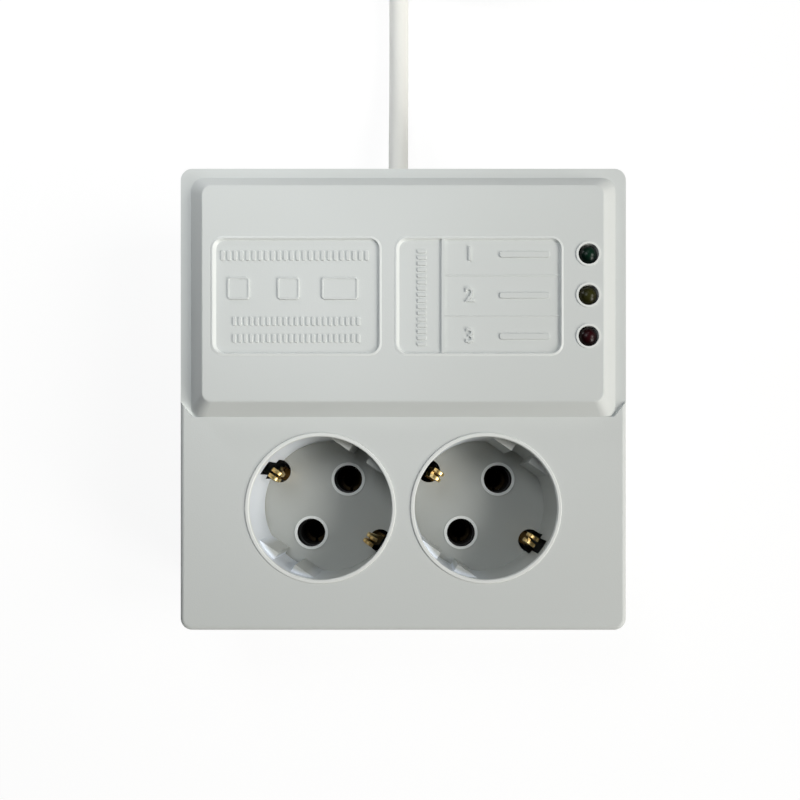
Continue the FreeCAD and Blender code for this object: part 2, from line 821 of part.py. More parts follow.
def socket_cup(side, label):
    well_top = f"({WELL_FLOOR} + well_depth + lip_rise)"
    ribs_top = "(case_height - rib_drop)"
    rib_height = f"({ribs_top} - {WELL_FLOOR})"
    outside = cylinder(0, 0, CUP_BOTTOM, CUP_RADIUS, f"{ROOF} - {CUP_BOTTOM}")
    neck = cylinder(0, 0, CUP_BOTTOM, LIP_RADIUS, f"{well_top} - {CUP_BOTTOM}")
    mouth = cylinder(0, 0, ribs_top, "well_radius", f"{well_top} - {ribs_top}")
    open_part = common(
        cylinder(0, 0, WELL_FLOOR, "well_radius", rib_height),
        fuse(
            box(0, 0, WELL_FLOOR, "2 * rib_reach", "2 * well_radius", rib_height),
            box(0, 0, WELL_FLOOR, "2 * well_radius", "rib_slot", rib_height),
        ),
    )
    rings = [
        cylinder(f"{end} * pin_spacing / 2", 0, WELL_FLOOR, "pin_hole_radius + pin_ring", "pin_ring_rise")
        for end in (LEFT, RIGHT)
    ]
    holes = [
        cylinder(f"{end} * pin_spacing / 2", 0, CUP_BOTTOM, "pin_hole_radius", "cup_floor + pin_ring_rise")
        for end in (LEFT, RIGHT)
    ]
    bays = []
    bay_height, slit_height = "cup_floor + clip_bay_height", f"{ROOF} - {WELL_FLOOR}"
    start, stop = "clip_bay_start + clip_bay_width / 2", f"{CUP_RADIUS} + {PAST}"
    depth = f"{stop} - ({start})"
    for end in (LEFT, RIGHT):
        middle = f"{end} * ({start} + {stop}) / 2"
        bays.append(cylinder(0, f"{end} * ({start})", CUP_BOTTOM, "clip_bay_width / 2", bay_height))
        bays.append(box(0, middle, CUP_BOTTOM, "clip_bay_width", depth, bay_height))
        bays.append(box(0, middle, WELL_FLOOR, "clip_slit_width", depth, slit_height))
    pilot = cylinder(0, 0, CUP_BOTTOM, "small_screw + screw_pilot", "cup_floor - pilot_floor")
    shell = cut(fuse(outside, neck), mouth, open_part)
    cup = cut(fuse(shell, *rings), *holes, *bays, pilot)
    return place_socket(node(eased_edges(cup, "lip_edge", at_height(well_top), "Chamfer"), label), side)


def earth_clip(side, end, label):
    """A brass strip that stands in its bay, leans in to the plug and bends back at the tip."""
    body = new_body(label)
    foot = f"{CUP_BOTTOM} + clip_gap"
    line = [
        ("clip_root_radius", foot),
        ("clip_root_radius", f"{foot} + clip_bend_height"),
        ("clip_bulge_radius", f"{foot} + clip_bulge_height"),
        ("clip_tip_radius", f"{foot} + clip_tip_height"),
    ]
    s = sketch(body, "XZ_Plane", "-clip_width / 2")
    draw_polygon(s, line + [(f"{x} + clip_thickness", z) for x, z in reversed(line)])
    pad(body, s, "clip_width")
    bends = [value(z) for x, z in line[1:3]]
    round_off(
        body,
        "clip_bend",
        lambda edge: edge.BoundBox.YLength > 1 and any(abs(edge.CenterOfMass.z - z) < 0.01 for z in bends),
    )
    s = sketch(body, "YZ_Plane", f"clip_bulge_radius - {PAST}")
    middle = f"{foot} + (clip_groove_low + clip_groove_high) / 2"
    draw_rounded(s, 0, middle, "clip_groove", "clip_groove_high - clip_groove_low", "clip_groove_corner")
    pocket(body, s, f"clip_tip_radius + clip_thickness - clip_bulge_radius + {2 * PAST}", up=True)
    return place_socket(body, side, f"pin_angle + {end} * 90")


def earth_bracket(side, label):
    """The strap under the cup that carries the two clips."""
    low = f"{CUP_BOTTOM} - strap_thickness"
    strap = box(0, 0, low, "2 * (clip_root_radius + clip_thickness)", "strap_width", "strap_thickness")
    tab_height = "strap_thickness + clip_gap - clip_tab_gap"
    tab_places = [f"{end} * (clip_root_radius + clip_thickness / 2)" for end in (LEFT, RIGHT)]
    tabs = [box(x, 0, low, "clip_thickness", "clip_width", tab_height) for x in tab_places]
    hole = cylinder(0, 0, low, "small_screw + screw_hole", "strap_thickness")
    return place_socket(node(cut(fuse(strap, *tabs), hole), label), side, "pin_angle + 90")


for side, name in ((LEFT, "left"), (RIGHT, "right")):
    socket_cup(side, f"socket_cup_{name}")
    earth_clip(side, RIGHT, f"earth_clip_{name}_upper")
    earth_clip(side, LEFT, f"earth_clip_{name}_lower")
    earth_bracket(side, f"earth_bracket_{name}")

# Earth link: a flat bar with a lug for the earth wire
LUG = f"(socket_middle + link_width / 2 + strap_thickness / 2)"
link = fuse(
    box(0, "socket_middle", LINK_BOTTOM, "socket_spacing + 2 * link_end", "link_width", "strap_thickness"),
    box(0, LUG, f"{LINK_BOTTOM} - lug_drop", "lug_width", "strap_thickness", "strap_thickness + lug_drop"),
)
link_holes = [cylinder(x, y, LINK_BOTTOM, "small_screw + screw_hole", "strap_thickness") for x, y in SOCKETS]
node(cut(link, *link_holes), "earth_link_bar")
screws(
    "earth_screws",
    SOCKETS,
    LINK_BOTTOM,
    "(2 * strap_thickness + cup_floor - pilot_floor - screw_tip_room)",
    "small_screw",
    "small_head",
    "small_head_height",
    down=False,
)

# Pin contacts: a slit sleeve in an insulating holder under each pin hole, on a bus bar for each pole


def ring(x, y, z, outer_radius, inner_radius, height):
    return cut(cylinder(x, y, z, outer_radius, height), cylinder(x, y, z, inner_radius, height))


holders = []
holder_height = f"({CUP_BOTTOM} - {BAR_TOP})"
sleeve_height = f"({holder_height} - sleeve_top_drop)"
for end, pole in ((RIGHT, "live"), (LEFT, "neutral")):
    sleeves, bar_ends = [], []
    for side in (LEFT, RIGHT):
        x, y = contact_place(side, end)
        holders.append(ring(x, y, BAR_TOP, "holder_radius", "sleeve_radius + fit", holder_height))
        sleeve = ring(x, y, BAR_TOP, "sleeve_radius", "sleeve_bore", sleeve_height)
        slit = box(x, y, f"{BAR_TOP} + sleeve_root", "sleeve_slit", "2 * sleeve_radius", sleeve_height)
        sleeves.append(cut(sleeve, slit))
        bar_ends.append(cylinder(x, y, "bar_height", "bar_width / 2", "bar_thickness"))
    node(group(*sleeves), f"{pole}_contacts")
    x, y = contact_place(LEFT, end)
    bar = box(f"{x} + socket_spacing / 2", y, "bar_height", "socket_spacing", "bar_width", "bar_thickness")
    node(fuse(bar, *bar_ends), f"{pole}_bus_bar")
node(group(*holders), "contact_holders")


# Circuit board and what stands on it


def circuit_board():
    body = new_body("circuit_board")
    s = sketch(body, lift="board_height")
    draw_rounded(s, 0, BOARD_MIDDLE, BOARD_WIDTH, "board_length", "board_corner")
    for x, y in BOARD_SCREWS:
        draw_circle(s, x, y, "small_screw + screw_hole")
    pad(body, s, "board_thickness")


circuit_board()
screws(
    "board_screws",
    BOARD_SCREWS,
    BOARD_TOP,
    "(board_thickness + board_screw_grip)",
    "small_screw",
    "small_head",
    "small_head_height",
    down=True,
)


def status_light(y, label):
    """A five millimetre light: flange, barrel, dome and two legs down to the board."""
    lens_top = f"({FLANGE_HEIGHT} + light_flange + light_barrel)"
    dome = doc.addObject("Part::Sphere", "Dome")
    bind(dome, "Radius", "light_radius")
    move(dome, LIGHT_COLUMN, y, lens_top)
    leg_places = [f"{LIGHT_COLUMN} + {side} * light_leg_spacing / 2" for side in (LEFT, RIGHT)]
    legs = [cylinder(x, y, BOARD_TOP, "light_leg / 2", f"{FLANGE_HEIGHT} - {BOARD_TOP}") for x in leg_places]
    node(
        fuse(
            cylinder(LIGHT_COLUMN, y, FLANGE_HEIGHT, "light_flange_radius", "light_flange"),
            cylinder(LIGHT_COLUMN, y, FLANGE_HEIGHT, "light_radius", "light_flange + light_barrel"),
            dome,
            *legs,
        ),
        label,
    )


spacers = []
for y, colour in zip(LIGHTS, ("green", "yellow", "red")):
    status_light(y, f"status_light_{colour}")
    bore, height = "light_leg_spacing / 2 + light_leg", f"{FLANGE_HEIGHT} - {BOARD_TOP}"
    spacers.append(ring(LIGHT_COLUMN, y, BOARD_TOP, "light_flange_radius", bore, height))
node(group(*spacers), "light_spacers")


def transformer(x, y):
    """Laminations with two windows, and the wound bobbin on their middle leg."""
    core_low = f"{BOARD_TOP} + bobbin_height / 2 - core_height / 2"
    places = [f"({x}) + {side} * window_place" for side in (LEFT, RIGHT)]
    windows = [box(place, y, core_low, "window_width", "window_length", "core_height") for place in places]
    node(cut(box(x, y, core_low, "core_width", "core_length", "core_height"), *windows), "transformer_core")
    leg_width = "2 * window_place - window_width + 2 * fit"
    leg = box(x, y, f"{core_low} - fit", leg_width, "bobbin_length", "core_height + 2 * fit")
    node(cut(box(x, y, BOARD_TOP, "bobbin_width", "bobbin_length", "bobbin_height"), leg), "transformer_coil")


def boxed_part(label, x, y, width, length, height):
    """A moulded box on the board, with every edge but the lowest ones rounded."""
    case = box(x, y, BOARD_TOP, width, length, height)
    above = value(f"{BOARD_TOP} + moulded_edge")
    node(eased_edges(case, "moulded_edge", lambda edge: edge.CenterOfMass.z > above), label)


def fuse_and_clips(x, y):
    length, radius, cap, glass_radius = 20, 2.6, 5, 2.45
    axis = f"({BOARD_TOP} + 4)"
    tube = rod(f"({x}) - {length} / 2", y, axis, glass_radius, length, turn=0)
    cap_starts = [f"({x}) + {place}" for place in (-length / 2, length / 2 - cap)]
    caps = [rod(start, y, axis, radius, cap, turn=0) for start in cap_starts]
    node(fuse(tube, *caps), "fuse")
    clips = []
    clip_long, clip_high, clip_wall, mouth_width, ease = 3, 6, 0.7, 4, 0.05
    for place in (-(length - cap) / 2, (length - cap) / 2):
        middle = f"({x}) + {place}"
        block = box(middle, y, BOARD_TOP, clip_long, 2 * (radius + clip_wall), clip_high)
        hollow = rod(f"{middle} - {clip_long} / 2", y, axis, radius + ease, clip_long, turn=0)
        mouth = box(middle, y, axis, clip_long, mouth_width, clip_high)
        clips.append(cut(block, hollow, mouth))
    node(group(*clips), "fuse_clips")


def varistors(places, y):
    discs = []
    leg, leg_length = "light_leg + fit", "varistor_lift / 2"
    for x in places:
        start = f"({y}) - varistor_thickness / 2"
        disc = rod(x, start, f"{BOARD_TOP} + varistor_lift", "varistor_radius", "varistor_thickness")
        leg_places = [f"({x}) + {side} * varistor_legs / 2" for side in (LEFT, RIGHT)]
        legs = [box(place, y, BOARD_TOP, leg, leg, leg_length) for place in leg_places]
        discs.append(fuse(disc, *legs))
    node(group(*discs), "varistors")


def capacitors(places):
    """Upright aluminium capacitors with a rolled groove."""
    cans = []
    groove_lift, groove_width, groove_depth = 2, 0.9, 0.5
    for x, y in places:
        can = cylinder(x, y, BOARD_TOP, "can_radius", "can_height")
        groove_low, bottom = f"{BOARD_TOP} + {groove_lift}", f"can_radius - {groove_depth}"
        groove = ring(x, y, groove_low, f"can_radius + {PAST}", bottom, groove_width)
        cans.append(cut(can, groove))
    node(group(*cans), "electrolytic_capacitors")


def lying_parts(label, places, radius, length, lead_length):
    """Small round parts that lie along X on their two bent legs."""
    made = []
    lift, wire_width = radius + 0.4, 0.6
    axis = f"({BOARD_TOP} + {lift})"
    for x, y in places:
        barrel = rod(f"({x}) - {length} / 2", y, axis, radius, length, turn=0)
        wire = box(x, y, f"{axis} - {wire_width} / 2", lead_length, wire_width, wire_width)
        leg_places = [f"({x}) + {side} * ({lead_length} - {wire_width}) / 2" for side in (LEFT, RIGHT)]
        legs = [box(place, y, BOARD_TOP, wire_width, wire_width, lift) for place in leg_places]
        made.append(fuse(barrel, wire, *legs))
    node(group(*made), label)


def chip(x, y):
    """A dual in-line chip with bent legs."""
    lift, height, width, length, legs, pitch, foot_width, foot_length = 0.5, 3.3, 6.4, 19.2, 7, 2.54, 0.5, 0.9
    case = box(x, y, f"{BOARD_TOP} + {lift}", length, width, height)
    feet = [
        box(
            f"({x}) + ({i} - ({legs} - 1) / 2) * {pitch}",
            f"({y}) + {side} * ({width} / 2 + {foot_length} / 3)",
            BOARD_TOP,
            foot_width,
            foot_length,
            f"{lift} + {height} / 2",
        )
        for i in range(legs)
        for side in (LEFT, RIGHT)
    ]
    node(fuse(case, *feet), "controller_chip")


def regulator(x, y):
    """A tabbed three-leg regulator standing on its legs."""
    pitch, leg_width, leg_length, lift, width, depth, height = 2.54, 0.9, 0.6, 4, 10, 4.4, 9
    tab_depth, tab_height, hole_height, hole_radius = 1.2, 14.5, 12, 1.7
    low = f"{BOARD_TOP} + {lift}"
    leg_places = [f"({x}) + {i} * {pitch}" for i in (-1, 0, 1)]
    legs = [box(place, y, BOARD_TOP, leg_width, leg_length, lift + PAST) for place in leg_places]
    body = box(x, y, low, width, depth, height)
    tab = box(x, f"({y}) + ({depth} - {tab_depth}) / 2", low, width, tab_depth, tab_height)
    hole = rod(x, f"({y}) - {depth} / 2", f"{low} + {hole_height}", hole_radius, 2 * depth)
    node(cut(fuse(body, tab, *legs), hole), "voltage_regulator")


BOARD_END = f"({BOARD_WIDTH} / 2)"
RELAY_X, TRANSFORMER_X = f"{BOARD_END} - relay_inset", f"{BOARD_END} - transformer_inset"
FILM_X, CAN_X = f"{BOARD_END} - film_inset", f"{BOARD_END} - can_inset"
transformer(TRANSFORMER_X, f"{BOARD_MIDDLE} - transformer_drop")
boxed_part("relay", RELAY_X, f"{BOARD_MIDDLE} + relay_rise", "relay_width", "relay_length", "relay_height")
fuse_and_clips(f"{BOARD_END} - fuse_inset", f"{BOARD_MIDDLE} - fuse_drop")
varistor_places = [f"{BOARD_END} - varistor_inset + {i} * varistor_pitch" for i in range(2)]
varistors(varistor_places, f"{BOARD_MIDDLE} - varistor_drop")
capacitors([(CAN_X, f"{BOARD_MIDDLE} - can_drop + {i} * can_pitch") for i in range(2)])
film_place = (FILM_X, f"{BOARD_MIDDLE} + film_rise")
boxed_part("film_capacitor", *film_place, "film_width", "film_length", "film_height")
diode_columns = [f"{BOARD_END} - diode_inset + {i} * diode_pitch" for i in range(2)]
diode_places = [(x, f"{BOARD_MIDDLE} + {y}") for x in diode_columns for y in (-4, -0.5)]
lying_parts("rectifier_diodes", diode_places, radius=1.3, length=5, lead_length=8)
resistor_row = f"{BOARD_MIDDLE} + resistor_rise"
resistor_places = [(f"{BOARD_END} - resistor_inset + {i} * resistor_pitch", resistor_row) for i in range(2)]
lying_parts("resistors", resistor_places, radius=1.2, length=6.4, lead_length=10)
chip(f"chip_inset - {BOARD_SCREW_X}", f"{BOARD_MIDDLE} + chip_rise")
regulator(f"{BOARD_END} - regulator_inset", f"{BOARD_MIDDLE} - regulator_drop")


# Mains lead where it enters the case


def strain_relief():
    """A tapered grommet: flange inside, neck in the wall, shoulder and taper outside."""
    inner_face = f"({REAR} - case_wall)"
    start = f"({inner_face} - relief_flange_thickness - relief_inside)"
    flange_start = f"({inner_face} - relief_flange_thickness)"
    parts = fuse(
        rod("lead_place", start, "split_height", "relief_neck", f"{REAR} - {start}"),
        rod("lead_place", flange_start, "split_height", "relief_flange", "relief_flange_thickness"),
        taper("lead_place", REAR, "split_height", "relief_shoulder", "relief_tip", "relief_outside"),
    )
    bore_length = f"{REAR} + relief_outside - {start}"
    bore = rod("lead_place", start, "split_height", "lead_radius + lead_fit", bore_length)
    node(cut(parts, bore), "strain_relief")


strain_relief()
LEAD_END = f"({CLAMP} - clamp_width / 2 - saddle_wall)"
inner_length = f"{REAR} + relief_outside - {LEAD_END}"
node(rod("lead_place", LEAD_END, "split_height", "lead_radius", inner_length), "lead_inner_end")
clamp = box("lead_place", CLAMP, "split_height", "clamp_length", "clamp_width", "clamp_height")
clamp_hole = "small_screw + screw_hole"
clamp_holes = [cylinder(x, CLAMP, "split_height", clamp_hole, "clamp_height") for x in CLAMP_SCREWS]
node(cut(clamp, lead_saddle(), *clamp_holes), "lead_clamp")
screws(
    "clamp_screws",
    [(x, CLAMP) for x in CLAMP_SCREWS],
    "(split_height + clamp_height)",
    "(clamp_height + clamp_screw_grip)",
    "small_screw",
    "small_head",
    "small_head_height",
    down=True,
)

# Wires inside, each from a face that it is soldered or crimped to
lead_x, split = value("lead_place"), value("split_height")
sheath_end, board_under = value(LEAD_END), value("board_height")
bar_top, socket_y = value(BAR_TOP), value("socket_middle")
lug_face, lug_z = value(f"{LUG} + strap_thickness / 2"), value(f"{LINK_BOTTOM} - lug_drop / 2")
live_y, neutral_y = value(contact_place(LEFT, RIGHT)[1]), value(contact_place(LEFT, LEFT)[1])
CORE_SPREAD, CORE_REACH = 1.4, 12
WIRES = {
    "live_wire": [
        (lead_x + CORE_SPREAD, sheath_end, split + 0.9),
        (lead_x + CORE_SPREAD, sheath_end - 5, split + 0.9),
        (lead_x + 6, sheath_end - CORE_REACH, split + 1.5),
        (lead_x + 8, sheath_end - 16, board_under - 2.5),
        (lead_x + 8, sheath_end - 16, board_under),
    ],
    "neutral_wire": [
        (lead_x - CORE_SPREAD, sheath_end, split + 0.9),
        (lead_x - CORE_SPREAD, sheath_end - 5, split + 0.9),
        (lead_x - 6, sheath_end - CORE_REACH, split + 1.5),
        (lead_x - 8, sheath_end - 16, board_under - 2.5),
        (lead_x - 8, sheath_end - 16, board_under),
    ],
    "earth_wire": [
        (lead_x, sheath_end, split - 1.5),
        (lead_x, sheath_end - 10, split - 1.5),
        (lead_x + 1.5, sheath_end - 3 * CORE_REACH, split - 3),
        (1, 0, split - 2),
        (0.4, -12, split + 4),
        (0, lug_face + 6, lug_z),
        (0, lug_face, lug_z),
    ],
    "switched_live_wire": [
        (12, 6, board_under),
        (12, 6, board_under - 5),
        (10, -5, split + 1),
        (6, live_y + 4, split + 1.5),
        (5, live_y, bar_top + 3),
        (5, live_y, bar_top),
    ],
    "neutral_link_wire": [
        (-12, 6, board_under),
        (-12, 6, board_under - 5),
        (-11, -6, split + 2),
        (-7.5, live_y - 3, split + 2.2),
        (-6, neutral_y + 4, split + 1.5),
        (-5.5, neutral_y, bar_top + 3),
        (-5.5, neutral_y, bar_top),
    ],
}
for label, points in WIRES.items():
    wire, length = tube_along(bent_path(points), value("core_radius"), label, WIRE_SIDES)
    node(wire, label)

# Mains lead outside: straight away from the case, down to the surface, and on to its put-away coil
lead_radius = value("lead_radius")
exit_y = value(f"{REAR} + relief_outside")
coil_low = value("coil_height")
coil_high = coil_low + value("coil_pitch")
coil_y = value("coil_middle")
coil_start_radius = value("coil_least_radius") + COIL_TURNS_IN * value("coil_pitch")
coil_x = lead_x + coil_start_radius
straight = 2 * lead_radius
LEAD_ROUTE = [
    (lead_x, exit_y, split),
    (lead_x, 85.5, split),
    (lead_x, 104, 3.4),
    (lead_x, 142, 3.2),
    (lead_x, 163.5, coil_low),
    (lead_x, coil_y - straight, coil_low),
]
lead, lead_length = tube_along(bent_path(LEAD_ROUTE, "mains_lead"), lead_radius, "mains_lead")
node(lead, "mains_lead")


# The coil lies in two layers: it spirals in on the surface, climbs, and spirals out on top


def coil_point(turns):
    """Place and heading on the coil, at so many turns from the middle of its climb."""
    pitch = value("coil_pitch")
    radius = value("coil_least_radius") + pitch * abs(turns)
    angle = math.radians(COIL_START - 360 * (turns + COIL_TURNS_IN))
    height = coil_low if turns < 0 else coil_high
    out = Vector(math.cos(angle), math.sin(angle), 0)
    ahead = Vector(math.sin(angle), -math.cos(angle), 0)
    widening = math.copysign(pitch / (2 * math.pi), turns)
    place = Vector(coil_x, coil_y, height) + out * radius
    return place, (ahead * radius + out * widening).normalize()


def biarc(start, way, end, end_way):
    """Two arcs that join two points and keep both headings."""
    chord, both = end - start, way + end_way
    a = 2 * (1 - way.dot(end_way))
    b = chord.dot(both)
    reach = (math.sqrt(b * b + a * chord.dot(chord)) - b) / a
    joint = (start + end + (way - end_way) * reach) * 0.5
    heading = (joint - start) - way * reach
    heading.normalize()
    return [arc_from(start, way, joint), arc_from(joint, heading, end)]


def coil_path():
    quarters_in = round((COIL_TURNS_IN - CLIMB) * 4)
    quarters_out = round((COIL_TURNS_OUT - CLIMB) * 4)
    turns = [-COIL_TURNS_IN + i / 4 for i in range(quarters_in + 1)]
    turns += [CLIMB + i / 4 for i in range(quarters_out + 1)]
    nodes = [coil_point(t) for t in turns]
    # both ends leave the spiral square to what they meet
    nodes[0] = (nodes[0][0], Vector(0, 1, 0))
    nodes[-1] = (nodes[-1][0], Vector(-1, 0, 0))
    edges = [Part.LineSegment(nodes[0][0] - nodes[0][1] * straight, nodes[0][0]).toShape()]
    for (start, way), (end, end_way) in zip(nodes, nodes[1:]):
        edges += biarc(start, way, end, end_way)
    edges.append(Part.LineSegment(nodes[-1][0], nodes[-1][0] + nodes[-1][1] * straight).toShape())
    return edges


def least_gap(edges, radius):
    """The least gap of a tube to itself, from points a millimetre apart."""
    spots, along, total = [], [], 0
    for edge in edges:
        count = max(2, round(edge.Length))
        spots += edge.discretize(count)[:-1]
        along += [total + edge.Length * i / (count - 1) for i in range(count - 1)]
        total += edge.Length
    near = 6 * radius
    return min(
        spots[i].distanceToPoint(spots[j])
        for i in range(len(spots))
        for j in range(i + 1, len(spots))
        if along[j] - along[i] > near
    ) - 2 * radius


coil_edges = coil_path()
coil, coil_length = tube_along(coil_edges, lead_radius, "mains_lead_coil", COIL_SIDES)
node(coil, "mains_lead_coil")
print(f"coil: least gap to itself {least_gap(coil_edges, lead_radius):.2f}")

tail_start = coil_edges[-1].Vertexes[-1].Point
TAIL_RUN, TAIL_TURN = 13.8, 8.3
TAIL_ROUTE = [tuple(tail_start)]
for i in range(4):
    angle = math.radians(180 - i * TAIL_TURN)
    x, y, z = TAIL_ROUTE[-1]
    TAIL_ROUTE.append((x + TAIL_RUN * math.cos(angle), y + TAIL_RUN * math.sin(angle), z))
tail, tail_length = tube_along(bent_path(TAIL_ROUTE, "mains_lead_tail"), lead_radius, "mains_lead_tail")
node(tail, "mains_lead_tail")
print(f"whole lead outside the case: {lead_length + coil_length + tail_length:.0f}")

# Tie round the coil, on the side away from the case
tie_in = value("coil_least_radius + coil_pitch / 2 - lead_radius - tie_slack")
tie_out = value("coil_least_radius + 2.5 * coil_pitch + lead_radius + tie_slack")
tie_top = coil_high + lead_radius + value("tie_slack")
thin = value("tie_thickness")
tie_long, tie_tall = tie_out - tie_in, tie_top - thin
tie_y = coil_y + (tie_in + tie_out) / 2
strap_long, strap_tall = f"{tie_long} + 2 * tie_thickness", f"{tie_tall} + 2 * tie_thickness"
strap = box(coil_x, tie_y, 0, "tie_width", strap_long, strap_tall)
space = box(coil_x, tie_y, "tie_thickness", "tie_width", tie_long, tie_tall)
node(cut(eased_edges(strap, "tie_corner", lambda edge: edge.BoundBox.XLength > 1), space), "coil_tie")


# Plug: an angled plug on its back, its pins up; made with the lead coming in along +X, then turned
plug_turn = 180 - 3 * TAIL_TURN
tail_end = Vector(*TAIL_ROUTE[-1])
reach = value("plug_radius + plug_relief")
plug_middle = tail_end + Rotation(Vector(0, 0, 1), plug_turn).multVec(Vector(reach, 0, 0))


def place_plug(piece):
    return move(piece, plug_middle.x, plug_middle.y, 0, plug_turn)


def plug_grooves(width, depth, turn):
    """Cuts on two opposite sides of the plug's front part."""
    middle = f"plug_radius - ({depth}) / 2 + {PAST} / 2"
    low = "plug_depth - plug_groove_length"
    made = []
    for side in (LEFT, RIGHT):
        spot = (f"{side} * ({middle})", 0) if turn else (0, f"{side} * ({middle})")
        across = f"{depth} + {PAST}"
        sizes = (across, width) if turn else (width, across)
        made.append(box(*spot, low, *sizes, "plug_groove_length"))
    return made


PIN_PLACES = [f"{side} * pin_spacing / 2" for side in (LEFT, RIGHT)]
plug_blank = fuse(
    cone(0, 0, 0, "plug_back_radius", "plug_radius", "plug_back"),
    cylinder(0, 0, "plug_back", "plug_radius", "plug_depth - plug_back"),
    taper(
        "-plug_radius - plug_relief",
        0,
        coil_high,
        "plug_relief_narrow",
        "plug_relief_wide",
        "plug_relief + plug_relief_root",
        turn=0,
    ),
)
plug_shape = cut(
    plug_blank,
    *plug_grooves("plug_groove_width", "plug_groove_depth", turn=False),
    *plug_grooves("plug_contact_width + 2 * fit", "plug_groove_depth", turn=True),
    *[cylinder(0, y, "plug_depth - plug_pin_root", "plug_pin_radius", "plug_pin_root") for y in PIN_PLACES],
)
place_plug(node(plug_shape, "plug_body"))
plug_pins = []
tip_height = "plug_pin_radius / 2"
tip_low = f"(plug_depth + plug_pin_length - {tip_height})"
for y in PIN_PLACES:
    shank_low = "(plug_depth - plug_pin_root)"
    shank = cylinder(0, y, shank_low, "plug_pin_radius", f"{tip_low} - {shank_low}")
    tip = cone(0, y, tip_low, "plug_pin_radius", "plug_pin_radius / 2", tip_height)
    plug_pins.append(fuse(shank, tip))
place_plug(node(group(*plug_pins), "plug_pins"))
plug_strips = [
    box(
        f"{side} * (plug_radius - plug_groove_depth + plug_contact_thickness / 2)",
        0,
        "plug_depth - plug_groove_length",
        "plug_contact_thickness",
        "plug_contact_width",
        "plug_groove_length - plug_contact_drop",
    )
    for side in (LEFT, RIGHT)
]
place_plug(node(group(*plug_strips), "plug_earth_contacts"))

# Check every object, then write one file for each piece
doc.recompute()
for thing in doc.Objects:
    if {"Invalid", "Error"} & set(thing.State):
        raise RuntimeError(f"{thing.Name} ({thing.Label}) has failed: {thing.State}")
for piece in NODES:
    if piece.Shape.isNull() or not piece.Shape.isValid() or not piece.Shape.Solids:
        raise RuntimeError(f"{piece.Label} has no valid solid")
os.makedirs("parts", exist_ok=True)
for piece in NODES:
    piece.Shape.exportStep(f"parts/{piece.Label}.step")
print(len(NODES), "pieces written")
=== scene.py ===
import math

import bmesh
import bpy
from mathutils import Matrix, Vector


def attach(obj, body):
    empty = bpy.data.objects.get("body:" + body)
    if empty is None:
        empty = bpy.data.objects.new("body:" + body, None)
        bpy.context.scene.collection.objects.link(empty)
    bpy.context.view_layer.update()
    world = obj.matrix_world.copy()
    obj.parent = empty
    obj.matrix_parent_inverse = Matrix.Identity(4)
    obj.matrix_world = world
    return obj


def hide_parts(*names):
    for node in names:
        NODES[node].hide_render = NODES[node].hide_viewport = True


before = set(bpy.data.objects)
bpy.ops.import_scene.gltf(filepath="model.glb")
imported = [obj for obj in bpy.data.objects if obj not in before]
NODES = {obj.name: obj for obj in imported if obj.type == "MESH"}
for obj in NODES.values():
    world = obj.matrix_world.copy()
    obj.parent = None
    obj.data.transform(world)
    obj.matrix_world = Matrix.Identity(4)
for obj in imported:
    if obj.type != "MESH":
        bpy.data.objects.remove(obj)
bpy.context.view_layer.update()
CASE = "case"
MM = 0.001

# Places on the case that the looks share, in metres
SOCKET_X = 0.0219
SOCKET_Y = -0.0289
PIN_TURN = math.radians(55.4)
PIN_REACH = 0.0095
WELL_RADIUS = 0.01895
WELL_FLOOR = 0.0245
FACE_HEIGHT = 0.042
LABEL_FLOOR = 0.0455
LIGHT_X = 0.0479
LIGHT_ROWS = (0.0368, 0.0262, 0.0156)
CORD_RADIUS = 0.0031


def millimetres(*values):
    """A place or a step in metres, from millimetres."""
    return Vector(values) * MM


# Camera: straight above the face, a hand's length away; the shifts put its foot where the photograph has it

CAMERA_PLACE = (3.65, -22.8, 203)
CAMERA_LENS, CAMERA_SENSOR = 27.39, 36
CAMERA_SHIFT = (-0.02125, 0.10625)


def add_camera():
    data = bpy.data.cameras.new("overhead_camera")
    data.lens = CAMERA_LENS
    data.sensor_width = CAMERA_SENSOR
    data.shift_x, data.shift_y = CAMERA_SHIFT
    data.clip_start = 0.01
    data.clip_end = 10
    camera = bpy.data.objects.new("overhead_camera", data)
    camera.location = millimetres(*CAMERA_PLACE)
    bpy.context.scene.collection.objects.link(camera)
    bpy.context.scene.camera = camera


add_camera()


def fill_inputs(tree, node, inputs):
    """Gives each named input its constant, or links it to the socket given for it."""
    for key, given in inputs.items():
        if isinstance(given, bpy.types.NodeSocket):
            tree.links.new(given, node.inputs[key])
        else:
            node.inputs[key].default_value = given


# Shader groups: effects and masks that the finishes draw on


def shader_group(name, inputs, outputs):
    """An empty group with named sockets; inputs and outputs map a name to a socket kind."""
    group = bpy.data.node_groups.new(name, "ShaderNodeTree")
    for label, kind in inputs.items():
        group.interface.new_socket(label, in_out="INPUT", socket_type=f"NodeSocket{kind}")
    for label, kind in outputs.items():
        group.interface.new_socket(label, in_out="OUTPUT", socket_type=f"NodeSocket{kind}")
    return group, group.nodes.new("NodeGroupInput"), group.nodes.new("NodeGroupOutput")


